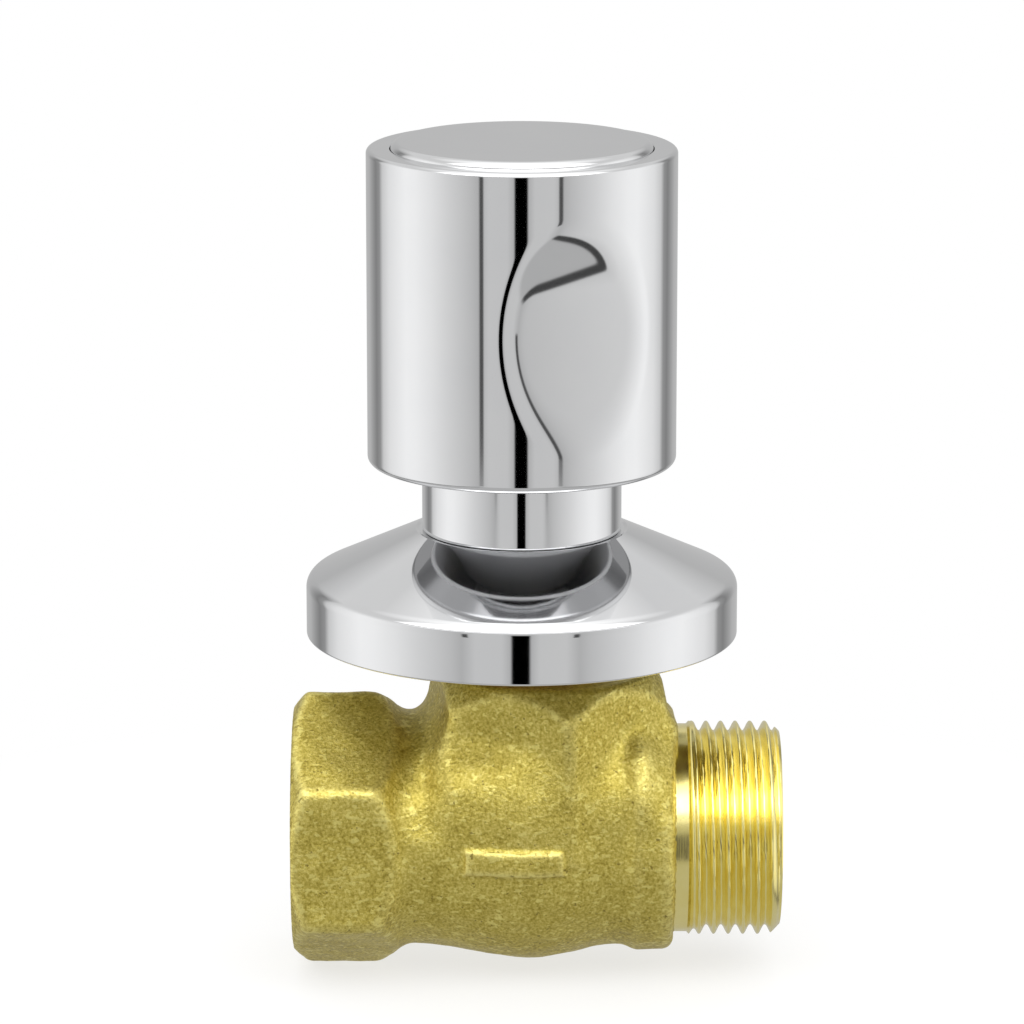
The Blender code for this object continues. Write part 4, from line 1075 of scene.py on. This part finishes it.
def studio():
    """Soft studio round the object: panels, a bright ceiling and a sheet below, plain white for the camera.

    Shares are of degrees: of 180 round from the front, of 180 up from straight below, of 90 up from the
    horizon, and of 90 down from it.
    """
    world = bpy.data.worlds.new("studio")
    bpy.context.scene.world = world
    world.use_nodes = True
    world.node_tree.nodes.clear()
    paint = Paint(world.node_tree)
    where = paint.node("ShaderNodeTexCoord", output="Generated")
    split = paint.node("ShaderNodeSeparateXYZ", inputs={0: where})
    east, north, up = split.other("X"), split.other("Y"), split.other("Z")
    azimuth = east.calculate("ARCTAN2", east, north * -1.0) * (180 / math.pi)
    round_front = azimuth.calculate("ABSOLUTE", azimuth + BELT_TURN, 0.0) / 180.0
    height = up.calculate("ARCSINE", up, 0.0) * (180 / math.pi)
    from_below = (height + 90.0) / 180.0
    from_horizon = height / 90.0
    depth = height * -1.0

    slit_below = paint.falling(from_below, *((degrees + 90) / 180 for degrees in SLIT_TOP))
    slit = paint.ramp(round_front, [(degrees / 180, shade) for degrees, shade in SLIT])
    belt = paint.ramp(round_front, [(degrees / 180, shade / PEAK) for degrees, shade in BELT])
    belt = paint.dimmed(belt, paint.blend(slit_below, WHITE, slit))
    seam = paint.ramp(round_front, [(degrees / 180, shade) for degrees, shade in SEAM])
    seam_span = paint.ramp(from_below, [((degrees + 90) / 180, share) for degrees, share in SEAM_SPAN])
    belt = paint.dimmed(belt, paint.blend(seam_span, WHITE, seam))

    sky = paint.ramp(from_horizon, [(degrees / 90, shade / PEAK) for degrees, shade in SKY])
    lamp = paint.ramp(from_horizon, [(degrees / 90, shade / PEAK) for degrees, shade in FRONT])
    before = paint.falling(round_front, *(degrees / 180 for degrees in FRONT_WIDTH))
    above = paint.rising(from_below, *((degrees + 90) / 180 for degrees in BELT_TOP))
    above_front = paint.rising(from_below, *((degrees + 90) / 180 for degrees in BELT_TOP_FRONT))
    light = paint.blend(paint.blend(before, above, above_front), belt, paint.blend(before, sky, lamp))

    light = paint.dimmed(light, paint.ramp(depth / 90.0, [(degrees / 90, shade) for degrees, shade in DEPTH]))
    aside = east.calculate("ABSOLUTE", east, 0.0) / up.calculate("MAXIMUM", up * -1.0, LEAST_DEPTH)
    light = sheet_light(paint, light, aside, depth)
    seen = paint.node("ShaderNodeLightPath", output="Is Camera Ray")
    room = paint.node("ShaderNodeBackground", inputs={"Color": light, "Strength": PEAK})
    backdrop = paint.node("ShaderNodeBackground", inputs={"Color": WHITE, "Strength": 1.0})
    mixed = paint.node("ShaderNodeMixShader", inputs={0: seen, 1: room, 2: backdrop})
    paint.node("ShaderNodeOutputWorld", inputs={"Surface": mixed})


FLOOR_HEIGHT = -17.75
FLOOR_HALF = 3000.0
# How much of the floor is matt and takes the shadow, by distance as a share of the fade in metres
FLOOR_FADE = 0.12
FLOOR_MATT = [(0.25, 0.30), (1.0, 0.0)]


def floor():
    """Wide pale floor under the body that fades to plain white away from the object."""
    mesh = bpy.data.meshes.new("floor")
    corners = FLOOR_HALF * np.array([(-1, -1, 0), (1, -1, 0), (1, 1, 0), (-1, 1, 0)]) + (0, 0, FLOOR_HEIGHT)
    mesh.from_pydata((corners * MM).tolist(), [], [(0, 1, 2, 3)])
    look = bpy.data.materials.new("pale_floor")
    look.use_nodes = True
    look.node_tree.nodes.clear()
    paint = Paint(look.node_tree)
    where = paint.node("ShaderNodeTexCoord", output="Object")
    reach = paint.node("ShaderNodeVectorMath", {"operation": "LENGTH"}, {0: where}, output="Value")
    near = paint.ramp(reach / FLOOR_FADE, FLOOR_MATT)
    matt = paint.node("ShaderNodeBsdfDiffuse", inputs={"Color": WHITE})
    plain = paint.node("ShaderNodeEmission", inputs={"Color": WHITE, "Strength": 1.0})
    mixed = paint.node("ShaderNodeMixShader", inputs={0: near, 1: plain, 2: matt})
    paint.node("ShaderNodeOutputMaterial", inputs={"Surface": mixed})
    mesh.materials.append(look)
    made = linked("floor", mesh)
    made.visible_glossy = False
    made.visible_diffuse = False


CAMERA_PLACE = (-1.2, -640.0, 191.59)
CAMERA_DOWN = 13.307
SENSOR_WIDTH = 36.0
LENS = 188.72


def camera():
    """The camera in front of the valve and a little above it."""
    lens = bpy.data.cameras.new("camera")
    lens.sensor_width = SENSOR_WIDTH
    lens.lens = LENS
    made = linked("camera", lens)
    made.location = Vector(CAMERA_PLACE) * MM
    made.rotation_euler = (math.radians(90 - CAMERA_DOWN), 0.0, 0.0)
    bpy.context.scene.camera = made


finish_nodes()
for cover in (casting(), outlet_thread(), inlet_thread()):
    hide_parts("valve_body")
sleeve_thread()
flange_cover()
collar_tube()
knob()
cap_disc()
studio()
floor()
camera()
bpy.context.scene.view_settings.view_transform = "Standard"
